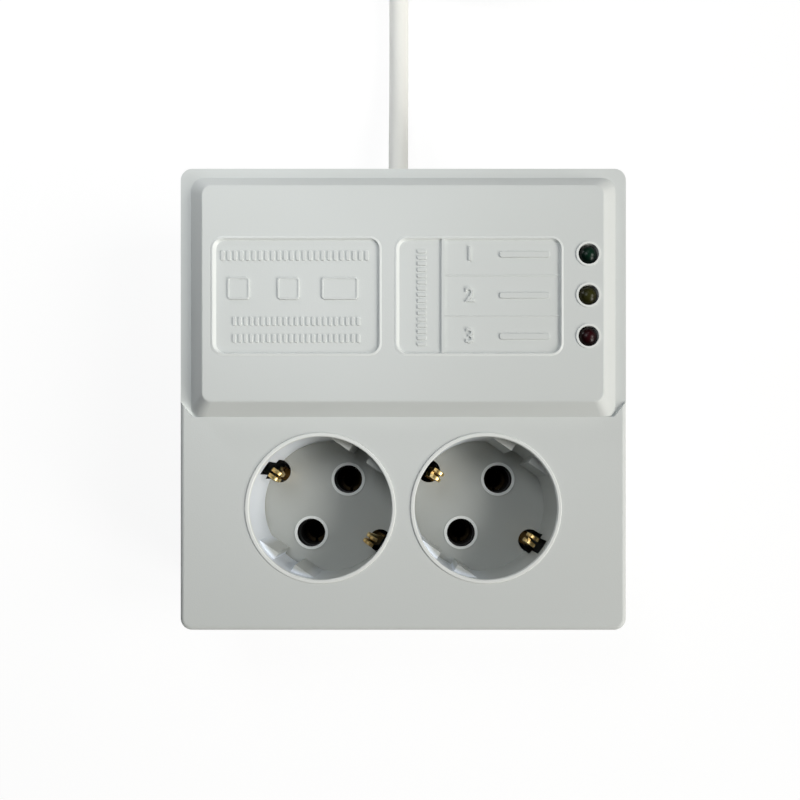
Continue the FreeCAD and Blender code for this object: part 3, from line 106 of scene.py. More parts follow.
class Wiring:
    """Adds nodes to a shader tree; a socket or a constant may be given for each input."""

    def __init__(self, tree):
        self.tree = tree

    def put(self, kind, inputs=None, **settings):
        """A shader node of a kind, with its settings and inputs."""
        node = self.tree.nodes.new(f"ShaderNode{kind}")
        for key, setting in settings.items():
            setattr(node, key, setting)
        fill_inputs(self.tree, node, inputs or {})
        return node

    def math(self, operation, first, second=0.0):
        return self.put("Math", {0: first, 1: second}, operation=operation).outputs[0]

    def ramp(self, value, low, high, start=0.0, stop=1.0, **settings):
        """Start below low, stop above high, and what lies between."""
        inputs = {"Value": value, "From Min": low, "From Max": high, "To Min": start, "To Max": stop}
        return self.put("MapRange", inputs, **settings).outputs[0]

    def noise(self, place, scale, detail=2.0):
        return self.put("TexNoise", {"Vector": place, "Scale": scale, "Detail": detail}).outputs[0]

    def reach(self, flat):
        """How far a point lies from the origin."""
        return self.put("VectorMath", {0: flat}, operation="LENGTH").outputs["Value"]

    def link(self, start, end):
        self.tree.links.new(start, end)


def make_moulded_grain():
    """Spark-eroded grain of a mould, with slow drifts of tone and shine."""
    group, entry, leave = shader_group(
        "moulded_grain",
        {"Vector": "Vector", "Grain Scale": "Float", "Drift Scale": "Float"},
        {"Height": "Float", "Drift": "Float"},
    )
    w = Wiring(group)
    place, grain = entry.outputs["Vector"], entry.outputs["Grain Scale"]
    fine = w.noise(place, grain, 3.0)
    pits = w.put("TexVoronoi", {"Vector": place, "Scale": grain})
    w.link(w.math("ADD", fine, pits.outputs["Distance"]), leave.inputs["Height"])
    w.link(w.noise(place, entry.outputs["Drift Scale"]), leave.inputs["Drift"])
    return group


def make_drawn_lines():
    """Fine lines of drawn, rolled or stamped metal, and its tarnish."""
    group, entry, leave = shader_group(
        "drawn_lines",
        {"Vector": "Vector", "Line Scale": "Float", "Tarnish Scale": "Float"},
        {"Height": "Float", "Line": "Float", "Tarnish": "Float"},
    )
    w = Wiring(group)
    place = entry.outputs["Vector"]
    stretched = w.put("Mapping", {"Vector": place, "Scale": (1.0, 1.0, 0.06)})
    line = w.noise(stretched.outputs[0], entry.outputs["Line Scale"], 3.0)
    w.link(line, leave.inputs["Height"])
    w.link(line, leave.inputs["Line"])
    w.link(w.noise(place, entry.outputs["Tarnish Scale"], 4.0), leave.inputs["Tarnish"])
    return group


# Edges of the sockets' masks, in metres: radii about a well or a pin hole, heights, and places across a well
LIP_EDGE = (WELL_RADIUS - 0.0001, WELL_RADIUS)
LIP_HEIGHT = (FACE_HEIGHT - 0.0009, FACE_HEIGHT - 0.0007)
LIP_UNDERSIDE = FACE_HEIGHT - 0.001
WALL_EDGE = (0.0178, 0.0187)
WALL_FOOT = WELL_FLOOR + 0.0005
LIT_SIDE = (-0.010, 0.006)
CUP_BACK = WELL_RADIUS + 0.00005
FLOOR_SKIN = 0.0001
RING_EDGE = (0.0049, 0.0050)


def make_socket_rims():
    """Masks of both sockets where light and shade are painted: a painted highlight on the lip and on rings
    round the pin holes, painted light on the wall's left, and painted shade on what the case hides.
    """
    masks = {"Lip Highlight": "Float", "Lit Wall": "Float", "Pin Ring Highlight": "Float", "Inside": "Float"}
    group, entry, leave = shader_group("socket_painted_light", {"Vector": "Vector"}, masks)
    w = Wiring(group)
    place = w.put("SeparateXYZ", {"Vector": entry.outputs["Vector"]})
    side = w.math("SIGN", place.outputs["X"])
    x = w.math("SUBTRACT", place.outputs["X"], w.math("MULTIPLY", side, SOCKET_X))
    y = w.math("SUBTRACT", place.outputs["Y"], SOCKET_Y)
    height = place.outputs["Z"]
    flat = w.put("CombineXYZ", {"X": x, "Y": y}).outputs[0]
    radius = w.reach(flat)
    # Painted highlight: a pale ring on the lip of each well
    lip = w.math("MULTIPLY", w.ramp(radius, *LIP_EDGE), w.ramp(height, *LIP_HEIGHT))
    w.link(lip, leave.inputs["Lip Highlight"])
    # Painted light: the wall is paler and bluer towards the well's left, the side the lamps on the right
    # light
    lit_side = w.ramp(x, *LIT_SIDE, 1.0, 0.0, interpolation_type="SMOOTHSTEP")
    off_floor = w.math("GREATER_THAN", height, WALL_FOOT)
    upright = w.math("MULTIPLY", w.ramp(radius, *WALL_EDGE), off_floor)
    w.link(w.math("MULTIPLY", upright, lit_side), leave.inputs["Lit Wall"])
    # Painted shade: the cup near black behind its wall and under its floor
    behind = w.math("GREATER_THAN", radius, CUP_BACK)
    below_lip = w.math("LESS_THAN", height, LIP_UNDERSIDE)
    under_floor = w.math("LESS_THAN", height, WELL_FLOOR - FLOOR_SKIN)
    inside = w.math("MAXIMUM", w.math("MULTIPLY", behind, below_lip), under_floor)
    w.link(inside, leave.inputs["Inside"])
    # Painted highlight: a pale ring round each pin hole, on the floor
    turned = w.put("VectorRotate", {"Vector": flat, "Angle": -PIN_TURN}, rotation_type="Z_AXIS")
    along = w.put("SeparateXYZ", {"Vector": turned.outputs[0]})
    off = w.math("SUBTRACT", w.math("ABSOLUTE", along.outputs["X"]), PIN_REACH)
    pin_flat = w.put("CombineXYZ", {"X": off, "Y": along.outputs["Y"]}).outputs[0]
    ring = w.ramp(w.reach(pin_flat), *RING_EDGE, 1.0, 0.0)
    above = w.math("GREATER_THAN", height, WELL_FLOOR + FLOOR_SKIN)
    w.link(w.math("MULTIPLY", ring, above), leave.inputs["Pin Ring Highlight"])
    return group


MOULDED_GRAIN = make_moulded_grain()
DRAWN_LINES = make_drawn_lines()
SOCKET_PAINTED_LIGHT = make_socket_rims()


def new_material(name):
    """A material with its wiring, its surface shader and the object's own coordinates."""
    material = bpy.data.materials.new(name)
    material.use_nodes = True
    tree = material.node_tree
    tree.nodes.clear()
    w = Wiring(tree)
    surface = w.put("OutputMaterial")
    shader = w.put("BsdfPrincipled")
    w.link(shader.outputs[0], surface.inputs["Surface"])
    place = w.put("TexCoord").outputs["Object"]
    return material, w, shader, place


def blend_colours(w, factor, low, high):
    """From one colour to another; each is a socket or three values."""
    mix = w.tree.nodes.new("ShaderNodeMix")
    mix.data_type = "RGBA"
    w.link(factor, mix.inputs["Factor"])
    for key, colour in (("A", low), ("B", high)):
        socket = next(s for s in mix.inputs if s.name == key and s.type == "RGBA")
        if isinstance(colour, bpy.types.NodeSocket):
            w.link(colour, socket)
        else:
            socket.default_value = (*colour, 1.0)
    return next(s for s in mix.outputs if s.type == "RGBA")


def moulded_plastic(name, tone, shade, roughness, relief=0.02, grain=2600.0, drift=28.0, coat=0.0):
    """A moulded plastic that drifts between two tones, its mould's grain a relief in millimetres."""
    material, w, shader, place = new_material(name)
    scales = {"Vector": place, "Grain Scale": grain, "Drift Scale": drift}
    grained = w.put("Group", scales, node_tree=MOULDED_GRAIN)
    colour = blend_colours(w, grained.outputs["Drift"], tone, shade)
    w.link(colour, shader.inputs["Base Color"])
    w.link(w.ramp(grained.outputs["Drift"], 0.0, 1.0, *roughness), shader.inputs["Roughness"])
    bump = w.put("Bump", {"Height": grained.outputs["Height"], "Strength": 0.6, "Distance": relief * MM})
    w.link(bump.outputs[0], shader.inputs["Normal"])
    shader.inputs["IOR"].default_value = 1.5
    shader.inputs["Coat Weight"].default_value = coat
    shader.inputs["Coat Roughness"].default_value = 0.12
    return material, w, shader, place, colour


def plain_plastic(name, tone, shade, roughness, relief=0.02, **settings):
    return moulded_plastic(name, tone, shade, roughness, relief, **settings)[0]


def metal(name, bright, dull, roughness, lines=1600.0):
    """Worked metal: fine lines, and tarnish that dulls it in patches."""
    material, w, shader, place = new_material(name)
    scales = {"Vector": place, "Line Scale": lines, "Tarnish Scale": 260.0}
    worked = w.put("Group", scales, node_tree=DRAWN_LINES)
    tarnish = w.ramp(worked.outputs["Tarnish"], 0.4, 0.7)
    w.link(blend_colours(w, tarnish, bright, dull), shader.inputs["Base Color"])
    w.link(w.ramp(worked.outputs["Line"], 0.0, 1.0, *roughness), shader.inputs["Roughness"])
    bump = w.put("Bump", {"Height": worked.outputs["Height"], "Strength": 0.5, "Distance": 0.01 * MM})
    w.link(bump.outputs[0], shader.inputs["Normal"])
    shader.inputs["Metallic"].default_value = 1.0
    return material


# Tones laid over the case's and the cups' own as painted highlights, painted light and painted shade, and how
# far from a light's middle its collar ends
COLLAR_HIGHLIGHT_TONE = (0.88, 0.90, 0.88)
LIT_WALL_TONE = (0.85, 0.90, 0.97)
RIM_HIGHLIGHT_TONE = (0.90, 0.92, 0.90)
PAINTED_SHADE_TONE = (0.006, 0.006, 0.006)
COLLAR_EDGE = (0.00315, 0.00325)


def case_plastic():
    """The cover's satin plastic, with a painted highlight on the collars round the lights."""
    material, w, shader, place, colour = moulded_plastic(
        "case_plastic", (0.745, 0.77, 0.76), (0.715, 0.74, 0.725), (0.42, 0.5), 0.012
    )
    spot = w.put("SeparateXYZ", {"Vector": place})
    across = w.math("SUBTRACT", spot.outputs["X"], LIGHT_X)
    collar = None
    for y in LIGHT_ROWS:
        flat = w.put("CombineXYZ", {"X": across, "Y": w.math("SUBTRACT", spot.outputs["Y"], y)})
        ring = w.ramp(w.reach(flat.outputs[0]), *COLLAR_EDGE, 1.0, 0.0)
        collar = ring if collar is None else w.math("MAXIMUM", collar, ring)
    # Painted highlight: a pale ring on each light's collar
    w.link(blend_colours(w, collar, colour, COLLAR_HIGHLIGHT_TONE), shader.inputs["Base Color"])
    return material


def cup_plastic():
    """The socket cups' smoother plastic, in tones darker than the cover's as painted shade in the wells, with
    painted highlights at the lip and round the pin holes, painted light on the wall's left and painted shade
    where the case hides the cup.
    """
    # Tones darker than the cover's: painted shade for the wells
    material, w, shader, place, colour = moulded_plastic(
        "cup_plastic", (0.53, 0.545, 0.525), (0.50, 0.515, 0.49), (0.26, 0.36), 0.006
    )
    rims = w.put("Group", {"Vector": place}, node_tree=SOCKET_PAINTED_LIGHT)
    bright = w.math("MAXIMUM", rims.outputs["Lip Highlight"], rims.outputs["Pin Ring Highlight"])
    walled = blend_colours(w, rims.outputs["Lit Wall"], colour, LIT_WALL_TONE)
    highlighted = blend_colours(w, bright, walled, RIM_HIGHLIGHT_TONE)
    whole = blend_colours(w, rims.outputs["Inside"], highlighted, PAINTED_SHADE_TONE)
    w.link(whole, shader.inputs["Base Color"])
    return material


# From the lens's lighter middle to its darker rim, a painted highlight and painted shade, in metres from a
# light's middle, and how far the swirl shifts it
LENS_EDGE, LENS_SWIRL = (0.0008, 0.0024), 0.0008


def lens(name, lit_middle, shaded_rim, row):
    """A dark unlit lens, with a painted highlight in its middle and painted shade at its rim."""
    material, w, shader, place = new_material(name)
    centred = w.put("Mapping", {"Vector": place, "Location": (-LIGHT_X, -row, 0.0)})
    flat = w.put("VectorMath", {0: centred.outputs[0], 1: (1.0, 1.0, 0.0)}, operation="MULTIPLY")
    swirl = w.noise(place, 900.0)
    uneven = w.math("ADD", w.math("MULTIPLY", swirl, LENS_SWIRL), w.reach(flat.outputs[0]))
    # Painted highlight in the middle, painted shade towards the rim
    edge = w.ramp(uneven, *LENS_EDGE, interpolation_type="SMOOTHSTEP")
    w.link(blend_colours(w, edge, lit_middle, shaded_rim), shader.inputs["Base Color"])
    w.link(w.ramp(swirl, 0.0, 1.0, 0.24, 0.34), shader.inputs["Roughness"])
    shader.inputs["Specular IOR Level"].default_value = 0.2
    return material


def woven_tie():
    """Hook and loop strap: a fine dark pile."""
    material, _, shader, _, _ = moulded_plastic(
        "woven_tie", (0.035, 0.035, 0.04), (0.015, 0.015, 0.018), (0.75, 0.9), 0.2, grain=1500.0
    )
    shader.inputs["Sheen Weight"].default_value = 0.4
    return material


# Finishes: two tones, the range of roughness, and a plastic's relief
CASE_PLASTIC = case_plastic()
CUP_PLASTIC = cup_plastic()
# Paler than the cover's plastic: a painted highlight on the labels' raised frames
FRAME_HIGHLIGHT_PLASTIC = plain_plastic("frame_highlight_plastic", (0.86, 0.885, 0.87), (0.82, 0.845, 0.83), (0.34, 0.42), 0.012)
BACK_PLASTIC = plain_plastic("back_plastic", (0.69, 0.71, 0.70), (0.66, 0.68, 0.67), (0.5, 0.6), 0.03)
PLUG_PLASTIC = plain_plastic("plug_plastic", (0.62, 0.62, 0.595), (0.585, 0.585, 0.56), (0.6, 0.7))
SHEATH = plain_plastic(
    "cord_sheath", (0.92, 0.92, 0.88), (0.88, 0.88, 0.84), (0.45, 0.58), 0.03, grain=900.0, drift=22.0
)
RELIEF_RUBBER = plain_plastic("relief_rubber", (0.73, 0.74, 0.72), (0.69, 0.70, 0.68), (0.5, 0.62), 0.03)
BLACK_PLASTIC = plain_plastic("black_plastic", (0.012, 0.012, 0.012), (0.02, 0.02, 0.02), (0.4, 0.55))
CLIP_BRASS = metal("clip_brass", (0.96, 0.74, 0.34), (0.72, 0.46, 0.16), (0.26, 0.4))
# Brass painted near black: painted shade on the earth brackets, seen under the dark bays
SHADE_DARKENED_BRASS = metal("shade_darkened_brass", (0.16, 0.11, 0.045), (0.09, 0.06, 0.025), (0.5, 0.7))
# Contacts painted near black: painted shade deep in the pin holes
SHADE_DARKENED_CONTACTS = metal("contact_brass", (0.05, 0.036, 0.018), (0.03, 0.02, 0.01), (0.5, 0.7))
SCREW_STEEL = metal("screw_steel", (0.60, 0.60, 0.58), (0.42, 0.42, 0.40), (0.25, 0.45))
PIN_NICKEL = metal("pin_nickel", (0.72, 0.70, 0.66), (0.60, 0.58, 0.54), (0.12, 0.24))
TINNED = metal("contact_tin", (0.66, 0.66, 0.63), (0.5, 0.5, 0.47), (0.3, 0.5))
LAMINATIONS = metal("lamination_steel", (0.10, 0.10, 0.11), (0.05, 0.05, 0.05), (0.45, 0.65), lines=5000.0)
TIE = woven_tie()
BOARD = plain_plastic(
    "board_laminate", (0.30, 0.21, 0.09), (0.24, 0.16, 0.06), (0.35, 0.5), grain=700.0, coat=0.3
)
# Small glossy parts and wires, each with its two tones
GLOSSY = {
    "winding_tape": ((0.60, 0.38, 0.02), (0.50, 0.30, 0.01)),
    "relay_plastic": ((0.005, 0.02, 0.12), (0.004, 0.015, 0.09)),
    "varistor_coating": ((0.005, 0.03, 0.22), (0.004, 0.02, 0.16)),
    "film_box": ((0.52, 0.30, 0.01), (0.44, 0.25, 0.01)),
    "can_sleeve": ((0.004, 0.006, 0.01), (0.003, 0.004, 0.008)),
    "diode_epoxy": ((0.006, 0.006, 0.006), (0.012, 0.012, 0.012)),
    "resistor_lacquer": ((0.34, 0.22, 0.09), (0.28, 0.17, 0.07)),
    "chip_epoxy": ((0.008, 0.008, 0.008), (0.014, 0.014, 0.014)),
    "regulator_epoxy": ((0.01, 0.01, 0.01), (0.016, 0.016, 0.016)),
    "brown_wire": ((0.045, 0.012, 0.004), (0.035, 0.010, 0.003)),
    "blue_wire": ((0.004, 0.03, 0.24), (0.003, 0.022, 0.18)),
}
SMALL_PARTS = {name: plain_plastic(name, *tones, (0.28, 0.4), coat=0.3) for name, tones in GLOSSY.items()}
# The fuse's middle and half its glass, in metres; the stripes' pace and where a stripe starts on their wave
FUSE_MIDDLE, FUSE_HALF_GLASS = 0.006, 0.005
WIRE_STRIPES, WIRE_STRIPE_START = 3000.0, 0.2


def fuse_glass():
    """A glass tube between two metal caps."""
    material, w, shader, place = new_material("fuse_glass")
    spot = w.put("SeparateXYZ", {"Vector": place})
    middle = w.math("ABSOLUTE", w.math("SUBTRACT", spot.outputs["X"], FUSE_MIDDLE))
    cap = w.math("GREATER_THAN", middle, FUSE_HALF_GLASS)
    w.link(blend_colours(w, cap, (0.75, 0.78, 0.78), (0.62, 0.61, 0.58)), shader.inputs["Base Color"])
    w.link(cap, shader.inputs["Metallic"])
    w.link(w.ramp(w.noise(place, 300.0), 0.0, 1.0, 0.05, 0.25), shader.inputs["Roughness"])
    return material


def striped_wire():
    """Earth wire: yellow stripes on green."""
    material, w, shader, place, colour = moulded_plastic(
        "earth_wire", (0.03, 0.18, 0.02), (0.025, 0.15, 0.015), (0.3, 0.42), coat=0.3
    )
    spot = w.put("SeparateXYZ", {"Vector": place})
    wave = w.math("SINE", w.math("MULTIPLY", spot.outputs["X"], WIRE_STRIPES))
    stripe = w.math("GREATER_THAN", wave, WIRE_STRIPE_START)
    w.link(blend_colours(w, stripe, colour, (0.60, 0.48, 0.01)), shader.inputs["Base Color"])
    return material


LENSES = {
    "status_light_green": lens("green_lens", (0.005, 0.026, 0.014), (0.001, 0.006, 0.004), LIGHT_ROWS[0]),
    "status_light_yellow": lens("yellow_lens", (0.036, 0.036, 0.007), (0.018, 0.017, 0.004), LIGHT_ROWS[1]),
    "status_light_red": lens("red_lens", (0.032, 0.004, 0.006), (0.007, 0.001, 0.001), LIGHT_ROWS[2]),
}
FINISHES = {
    "front_cover": CASE_PLASTIC,
    "back_cover": BACK_PLASTIC,
    "lead_clamp": BACK_PLASTIC,
    "socket_cup_left": CUP_PLASTIC,
    "socket_cup_right": CUP_PLASTIC,
    "case_screws": SCREW_STEEL,
    "earth_screws": SCREW_STEEL,
    "board_screws": SCREW_STEEL,
    "clamp_screws": SCREW_STEEL,
    "live_contacts": SHADE_DARKENED_CONTACTS,
    "neutral_contacts": SHADE_DARKENED_CONTACTS,
    "live_bus_bar": SHADE_DARKENED_CONTACTS,
    "neutral_bus_bar": SHADE_DARKENED_CONTACTS,
    "earth_link_bar": SHADE_DARKENED_BRASS,
    "contact_holders": BLACK_PLASTIC,
    "light_spacers": BLACK_PLASTIC,
    "circuit_board": BOARD,
    "transformer_core": LAMINATIONS,
    "transformer_coil": SMALL_PARTS["winding_tape"],
    "relay": SMALL_PARTS["relay_plastic"],
    "varistors": SMALL_PARTS["varistor_coating"],
    "film_capacitor": SMALL_PARTS["film_box"],
    "electrolytic_capacitors": SMALL_PARTS["can_sleeve"],
    "rectifier_diodes": SMALL_PARTS["diode_epoxy"],
    "resistors": SMALL_PARTS["resistor_lacquer"],
    "controller_chip": SMALL_PARTS["chip_epoxy"],
    "voltage_regulator": SMALL_PARTS["regulator_epoxy"],
    "live_wire": SMALL_PARTS["brown_wire"],
    "switched_live_wire": SMALL_PARTS["brown_wire"],
    "neutral_wire": SMALL_PARTS["blue_wire"],
    "neutral_link_wire": SMALL_PARTS["blue_wire"],
    "earth_wire": striped_wire(),
    "fuse": fuse_glass(),
    "fuse_clips": TINNED,
    "strain_relief": RELIEF_RUBBER,
    "lead_inner_end": SHEATH,
    "plug_body": PLUG_PLASTIC,
    "plug_pins": PIN_NICKEL,
    "plug_earth_contacts": PIN_NICKEL,
    "coil_tie": TIE,
    **{f"earth_bracket_{side}": SHADE_DARKENED_BRASS for side in ("left", "right")},
    **{f"earth_clip_{side}_{end}": CLIP_BRASS for side in ("left", "right") for end in ("upper", "lower")},
    **LENSES,
}
for name, material in FINISHES.items():
    NODES[name].data.materials.clear()
    NODES[name].data.materials.append(material)


# Copies: what repeats is spread by a geometry tree, then baked to a plain mesh


def geometry_tree(name, inputs):
    """An empty geometry tree with named inputs, and its ends."""
    tree = bpy.data.node_groups.new(name, "GeometryNodeTree")
    tree.interface.new_socket("Geometry", in_out="INPUT", socket_type="NodeSocketGeometry")
    for label, kind in inputs.items():
        tree.interface.new_socket(label, in_out="INPUT", socket_type=f"NodeSocket{kind}")
    tree.interface.new_socket("Geometry", in_out="OUTPUT", socket_type="NodeSocketGeometry")
    return tree, tree.nodes.new("NodeGroupInput").outputs, tree.nodes.new("NodeGroupOutput").inputs


def add_node(tree, kind, inputs, **settings):
    """A node's outputs, once it stands in the tree with its settings and inputs."""
    node = tree.nodes.new(kind)
    for key, setting in settings.items():
        setattr(node, key, setting)
    fill_inputs(tree, node, inputs)
    return node.outputs


def node_math(tree, operation, first, second):
    return add_node(tree, "ShaderNodeMath", {0: first, 1: second}, operation=operation)[0]


def finish_tree(tree, copies, entry, leave):
    """Makes the copies real, gives them their material and sends them out."""
    whole = add_node(tree, "GeometryNodeRealizeInstances", {"Geometry": copies})
    dress = {"Geometry": whole[0], "Material": entry["Material"]}
    tree.links.new(add_node(tree, "GeometryNodeSetMaterial", dress)[0], leave["Geometry"])
    return tree


def make_rows_tree():
    """Copies in columns and rows, each smaller than the one before by the same share."""
    tree, entry, leave = geometry_tree(
        "copies_in_rows",
        {
            "Columns": "Int",
            "Rows": "Int",
            "Column Step": "Vector",
            "Row Step": "Vector",
            "Start": "Vector",
            "Shrink": "Float",
            "Material": "Material",
        },
    )
    across = {"Count": entry["Columns"], "Start Location": entry["Start"], "Offset": entry["Column Step"]}
    row = add_node(tree, "GeometryNodeMeshLine", across, mode="OFFSET")
    along = {"Count": entry["Rows"], "Offset": entry["Row Step"]}
    column = add_node(tree, "GeometryNodeMeshLine", along, mode="OFFSET")
    grid = add_node(tree, "GeometryNodeInstanceOnPoints", {"Points": column[0], "Instance": row[0]})
    spots = add_node(tree, "GeometryNodeRealizeInstances", {"Geometry": grid[0]})
    index = add_node(tree, "GeometryNodeInputIndex", {})
    lost = node_math(tree, "MULTIPLY", index[0], entry["Shrink"])
    size = node_math(tree, "SUBTRACT", 1.0, lost)
    laid = {"Points": spots[0], "Instance": entry["Geometry"], "Scale": size}
    copies = add_node(tree, "GeometryNodeInstanceOnPoints", laid)
    return finish_tree(tree, copies[0], entry, leave)


def make_turned_tree():
    """Copies turned step by step round an upright line through a centre."""
    tree, entry, leave = geometry_tree(
        "turned_copies",
        {
            "Count": "Int",
            "Centre": "Vector",
            "First Turn": "Float",
            "Turn Step": "Float",
            "Material": "Material",
        },
    )
    spots = add_node(tree, "GeometryNodePoints", {"Count": entry["Count"], "Position": entry["Centre"]})
    index = add_node(tree, "GeometryNodeInputIndex", {})
    turned = node_math(tree, "MULTIPLY", index[0], entry["Turn Step"])
    turn = node_math(tree, "ADD", turned, entry["First Turn"])
    angles = add_node(tree, "ShaderNodeCombineXYZ", {"Z": turn})
    rotation = add_node(tree, "FunctionNodeEulerToRotation", {"Euler": angles[0]})
    laid = {"Points": spots[0], "Instance": entry["Geometry"], "Rotation": rotation[0]}
    copies = add_node(tree, "GeometryNodeInstanceOnPoints", laid)
    return finish_tree(tree, copies[0], entry, leave)


SHARP_EDGE = math.radians(35)
ROWS_TREE = make_rows_tree()
TURNED_TREE = make_turned_tree()
NO_STEP = (0, 0, 0)


def spread(prototype, tree, material, **values):
    """The plain mesh of a tree's copies of a prototype; a value's name has _ for each space."""
    holder = bpy.data.objects.new("copies", prototype)
    bpy.context.scene.collection.objects.link(holder)
    modifier = holder.modifiers.new("copies", "NODES")
    modifier.node_group = tree
    given = {key.replace("_", " ").title(): setting for key, setting in values.items()}
    given["Material"] = material
    for item in tree.interface.items_tree:
        if item.in_out == "INPUT" and item.name in given:
            modifier[item.identifier] = given[item.name]
    depsgraph = bpy.context.evaluated_depsgraph_get()
    mesh = bpy.data.meshes.new_from_object(holder.evaluated_get(depsgraph))
    bpy.data.objects.remove(holder)
    return mesh


def in_rows(prototype, material, start, column=(1, NO_STEP), row=(1, NO_STEP), shrink=0.0):
    """Copies from a start, with a count and a step for the columns and for the rows, in millimetres."""
    return spread(
        prototype,
        ROWS_TREE,
        material,
        columns=column[0],
        rows=row[0],
        column_step=millimetres(*column[1]),
        row_step=millimetres(*row[1]),
        start=millimetres(*start),
        shrink=shrink,
    )


def joined(name, meshes, material):
    """One mesh from several, with one material and its faces outwards."""
    work = bmesh.new()
    for mesh in meshes:
        work.from_mesh(mesh)
    for face in work.faces:
        face.material_index = 0
    bmesh.ops.recalc_face_normals(work, faces=work.faces)
    whole = bpy.data.meshes.new(name)
    work.to_mesh(whole)
    work.free()
    whole.materials.clear()
    whole.materials.append(material)
    return whole


def piece(name, meshes, material, replaced=(), body=CASE):
    """A finished piece, smooth but for its sharp edges, that rides on a body."""
    made = bpy.data.objects.new(name, joined(name, meshes, material))
    bpy.context.scene.collection.objects.link(made)
    for polygon in made.data.polygons:
        polygon.use_smooth = True
    made.data.set_sharp_from_angle(angle=SHARP_EDGE)
    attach(made, body)
    if replaced:
        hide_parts(*replaced)
    return made


def stack(rings, closed=True):
    """A skin over rings of points, closed at both ends or joined end to end."""
    work = bmesh.new()
    made = [[work.verts.new(spot) for spot in ring] for ring in rings]
    pairs = list(zip(made, made[1:]))
    if not closed:
        pairs.append((made[-1], made[0]))
    for first, second in pairs:
        for i in range(len(first)):
            j = (i + 1) % len(first)
            work.faces.new((first[i], first[j], second[j], second[i]))
    if closed:
        work.faces.new(reversed(made[0]))
        work.faces.new(made[-1])
    bmesh.ops.recalc_face_normals(work, faces=work.faces)
    mesh = bpy.data.meshes.new("form")
    work.to_mesh(mesh)
    work.free()
    return mesh


def rounded_ring(width, length, corner, height, steps=4):
    """Points round a rectangle with rounded corners, about the origin."""
    ring = []
    for i, (side, end) in enumerate(((1, 1), (-1, 1), (-1, -1), (1, -1))):
        x, y = side * (width / 2 - corner), end * (length / 2 - corner)
        for k in range(steps + 1):
            angle = math.radians(90 * i + 90 * k / steps)
            ring.append(millimetres(x + corner * math.cos(angle), y + corner * math.sin(angle), height))
    return ring


PAD_ROOT, LEAST_CORNER = 0.05, 0.15


def raised_bar(width, length, height, corner, edge=0.1, sunk=0.0):
    """A small pad with an eased top edge, a little into its floor; a sunk pad has a raised frame round it."""
    rings = [
        rounded_ring(width, length, corner, -PAD_ROOT),
        rounded_ring(width, length, corner, height - edge),
        rounded_ring(width - 2 * edge, length - 2 * edge, corner - edge, height),
    ]
    if sunk:
        frame_wide = 4 * edge
        inner_wide, inner_long = width - 2 * frame_wide, length - 2 * frame_wide
        inner_corner = max(corner - frame_wide, LEAST_CORNER)
        rings.append(rounded_ring(inner_wide, inner_long, inner_corner, height))
        rings.append(rounded_ring(inner_wide - edge, inner_long - edge, inner_corner, height - sunk))
    return stack(rings)


def turned_ring(radius, height, sides):
    """Points round the Z axis."""
    angles = [math.tau * i / sides for i in range(sides)]
    return [millimetres(radius * math.cos(a), radius * math.sin(a), height) for a in angles]


HOOP_SIDES, HOOP_EASE = 44, 0.25


def hoop(radius, depth, width):
    """A flat ring with an eased outside, about the X axis."""
    ease = HOOP_EASE * width
    section = (
        (radius - depth, -width / 2),
        (radius - ease, -width / 2),
        (radius, ease - width / 2),
        (radius, width / 2 - ease),
        (radius - ease, width / 2),
        (radius - depth, width / 2),
    )
    rings = []
    for i in range(HOOP_SIDES):
        way = (math.cos(math.tau * i / HOOP_SIDES), math.sin(math.tau * i / HOOP_SIDES))
        rings.append([millimetres(along, r * way[0], r * way[1]) for r, along in section])
    return stack(rings, closed=False)


# Mains lead: one line from the grommet, along the surface, round the put-away coil and on to its plug

LEAD_ROUTE = [
    (-2.3, 73.4, 9.0),
    (-2.3, 85.5, 9.0),
    (-2.3, 104.0, 3.4),
    (-2.3, 142.0, 3.2),
    (-2.3, 163.5, 4.0),
    (-2.3, 179.8, 4.0),
]
COIL_MIDDLE = (43.0, 186.0)
COIL_LEAST_RADIUS = 26.6
COIL_PITCH = 6.8
COIL_LOW, COIL_HIGH = 4.0, 10.8
COIL_TURNS_IN, COIL_TURNS_OUT = 2.75, 3.0
CLIMB = 0.25
POINTS_PER_TURN = 24
TAIL_START = (36.8, 139.0)
TAIL_RUNS, TAIL_RUN, TAIL_TURN = 4, 13.8, 8.3


def coil_points():
    """The coil spirals in on the surface, climbs, and spirals out on top of itself."""
    points = []
    for i in range(round((COIL_TURNS_IN + COIL_TURNS_OUT) * POINTS_PER_TURN) + 1):
        turns = i / POINTS_PER_TURN - COIL_TURNS_IN
        radius = COIL_LEAST_RADIUS + COIL_PITCH * abs(turns)
        angle = math.pi - math.tau * (turns + COIL_TURNS_IN)
        climbed = min(max((turns + CLIMB) / (2 * CLIMB), 0), 1)
        height = COIL_LOW + (COIL_HIGH - COIL_LOW) * climbed**2 * (3 - 2 * climbed)
        x = COIL_MIDDLE[0] + radius * math.cos(angle)
        y = COIL_MIDDLE[1] + radius * math.sin(angle)
        points.append((x, y, height))
    return points


def tail_points():
    """The last stretch leaves the coil on top and turns a little, run by run, towards the plug."""
    x, y = TAIL_START
    points = [(x, y, COIL_HIGH)]
    for i in range(TAIL_RUNS):
        heading = math.radians(180 - i * TAIL_TURN)
        x, y = x + TAIL_RUN * math.cos(heading), y + TAIL_RUN * math.sin(heading)
        points.append((x, y, COIL_HIGH))
    return points


# Pieces on the lead, in millimetres and degrees: the grommet's and the plug's rings, grip ribs, and the tie

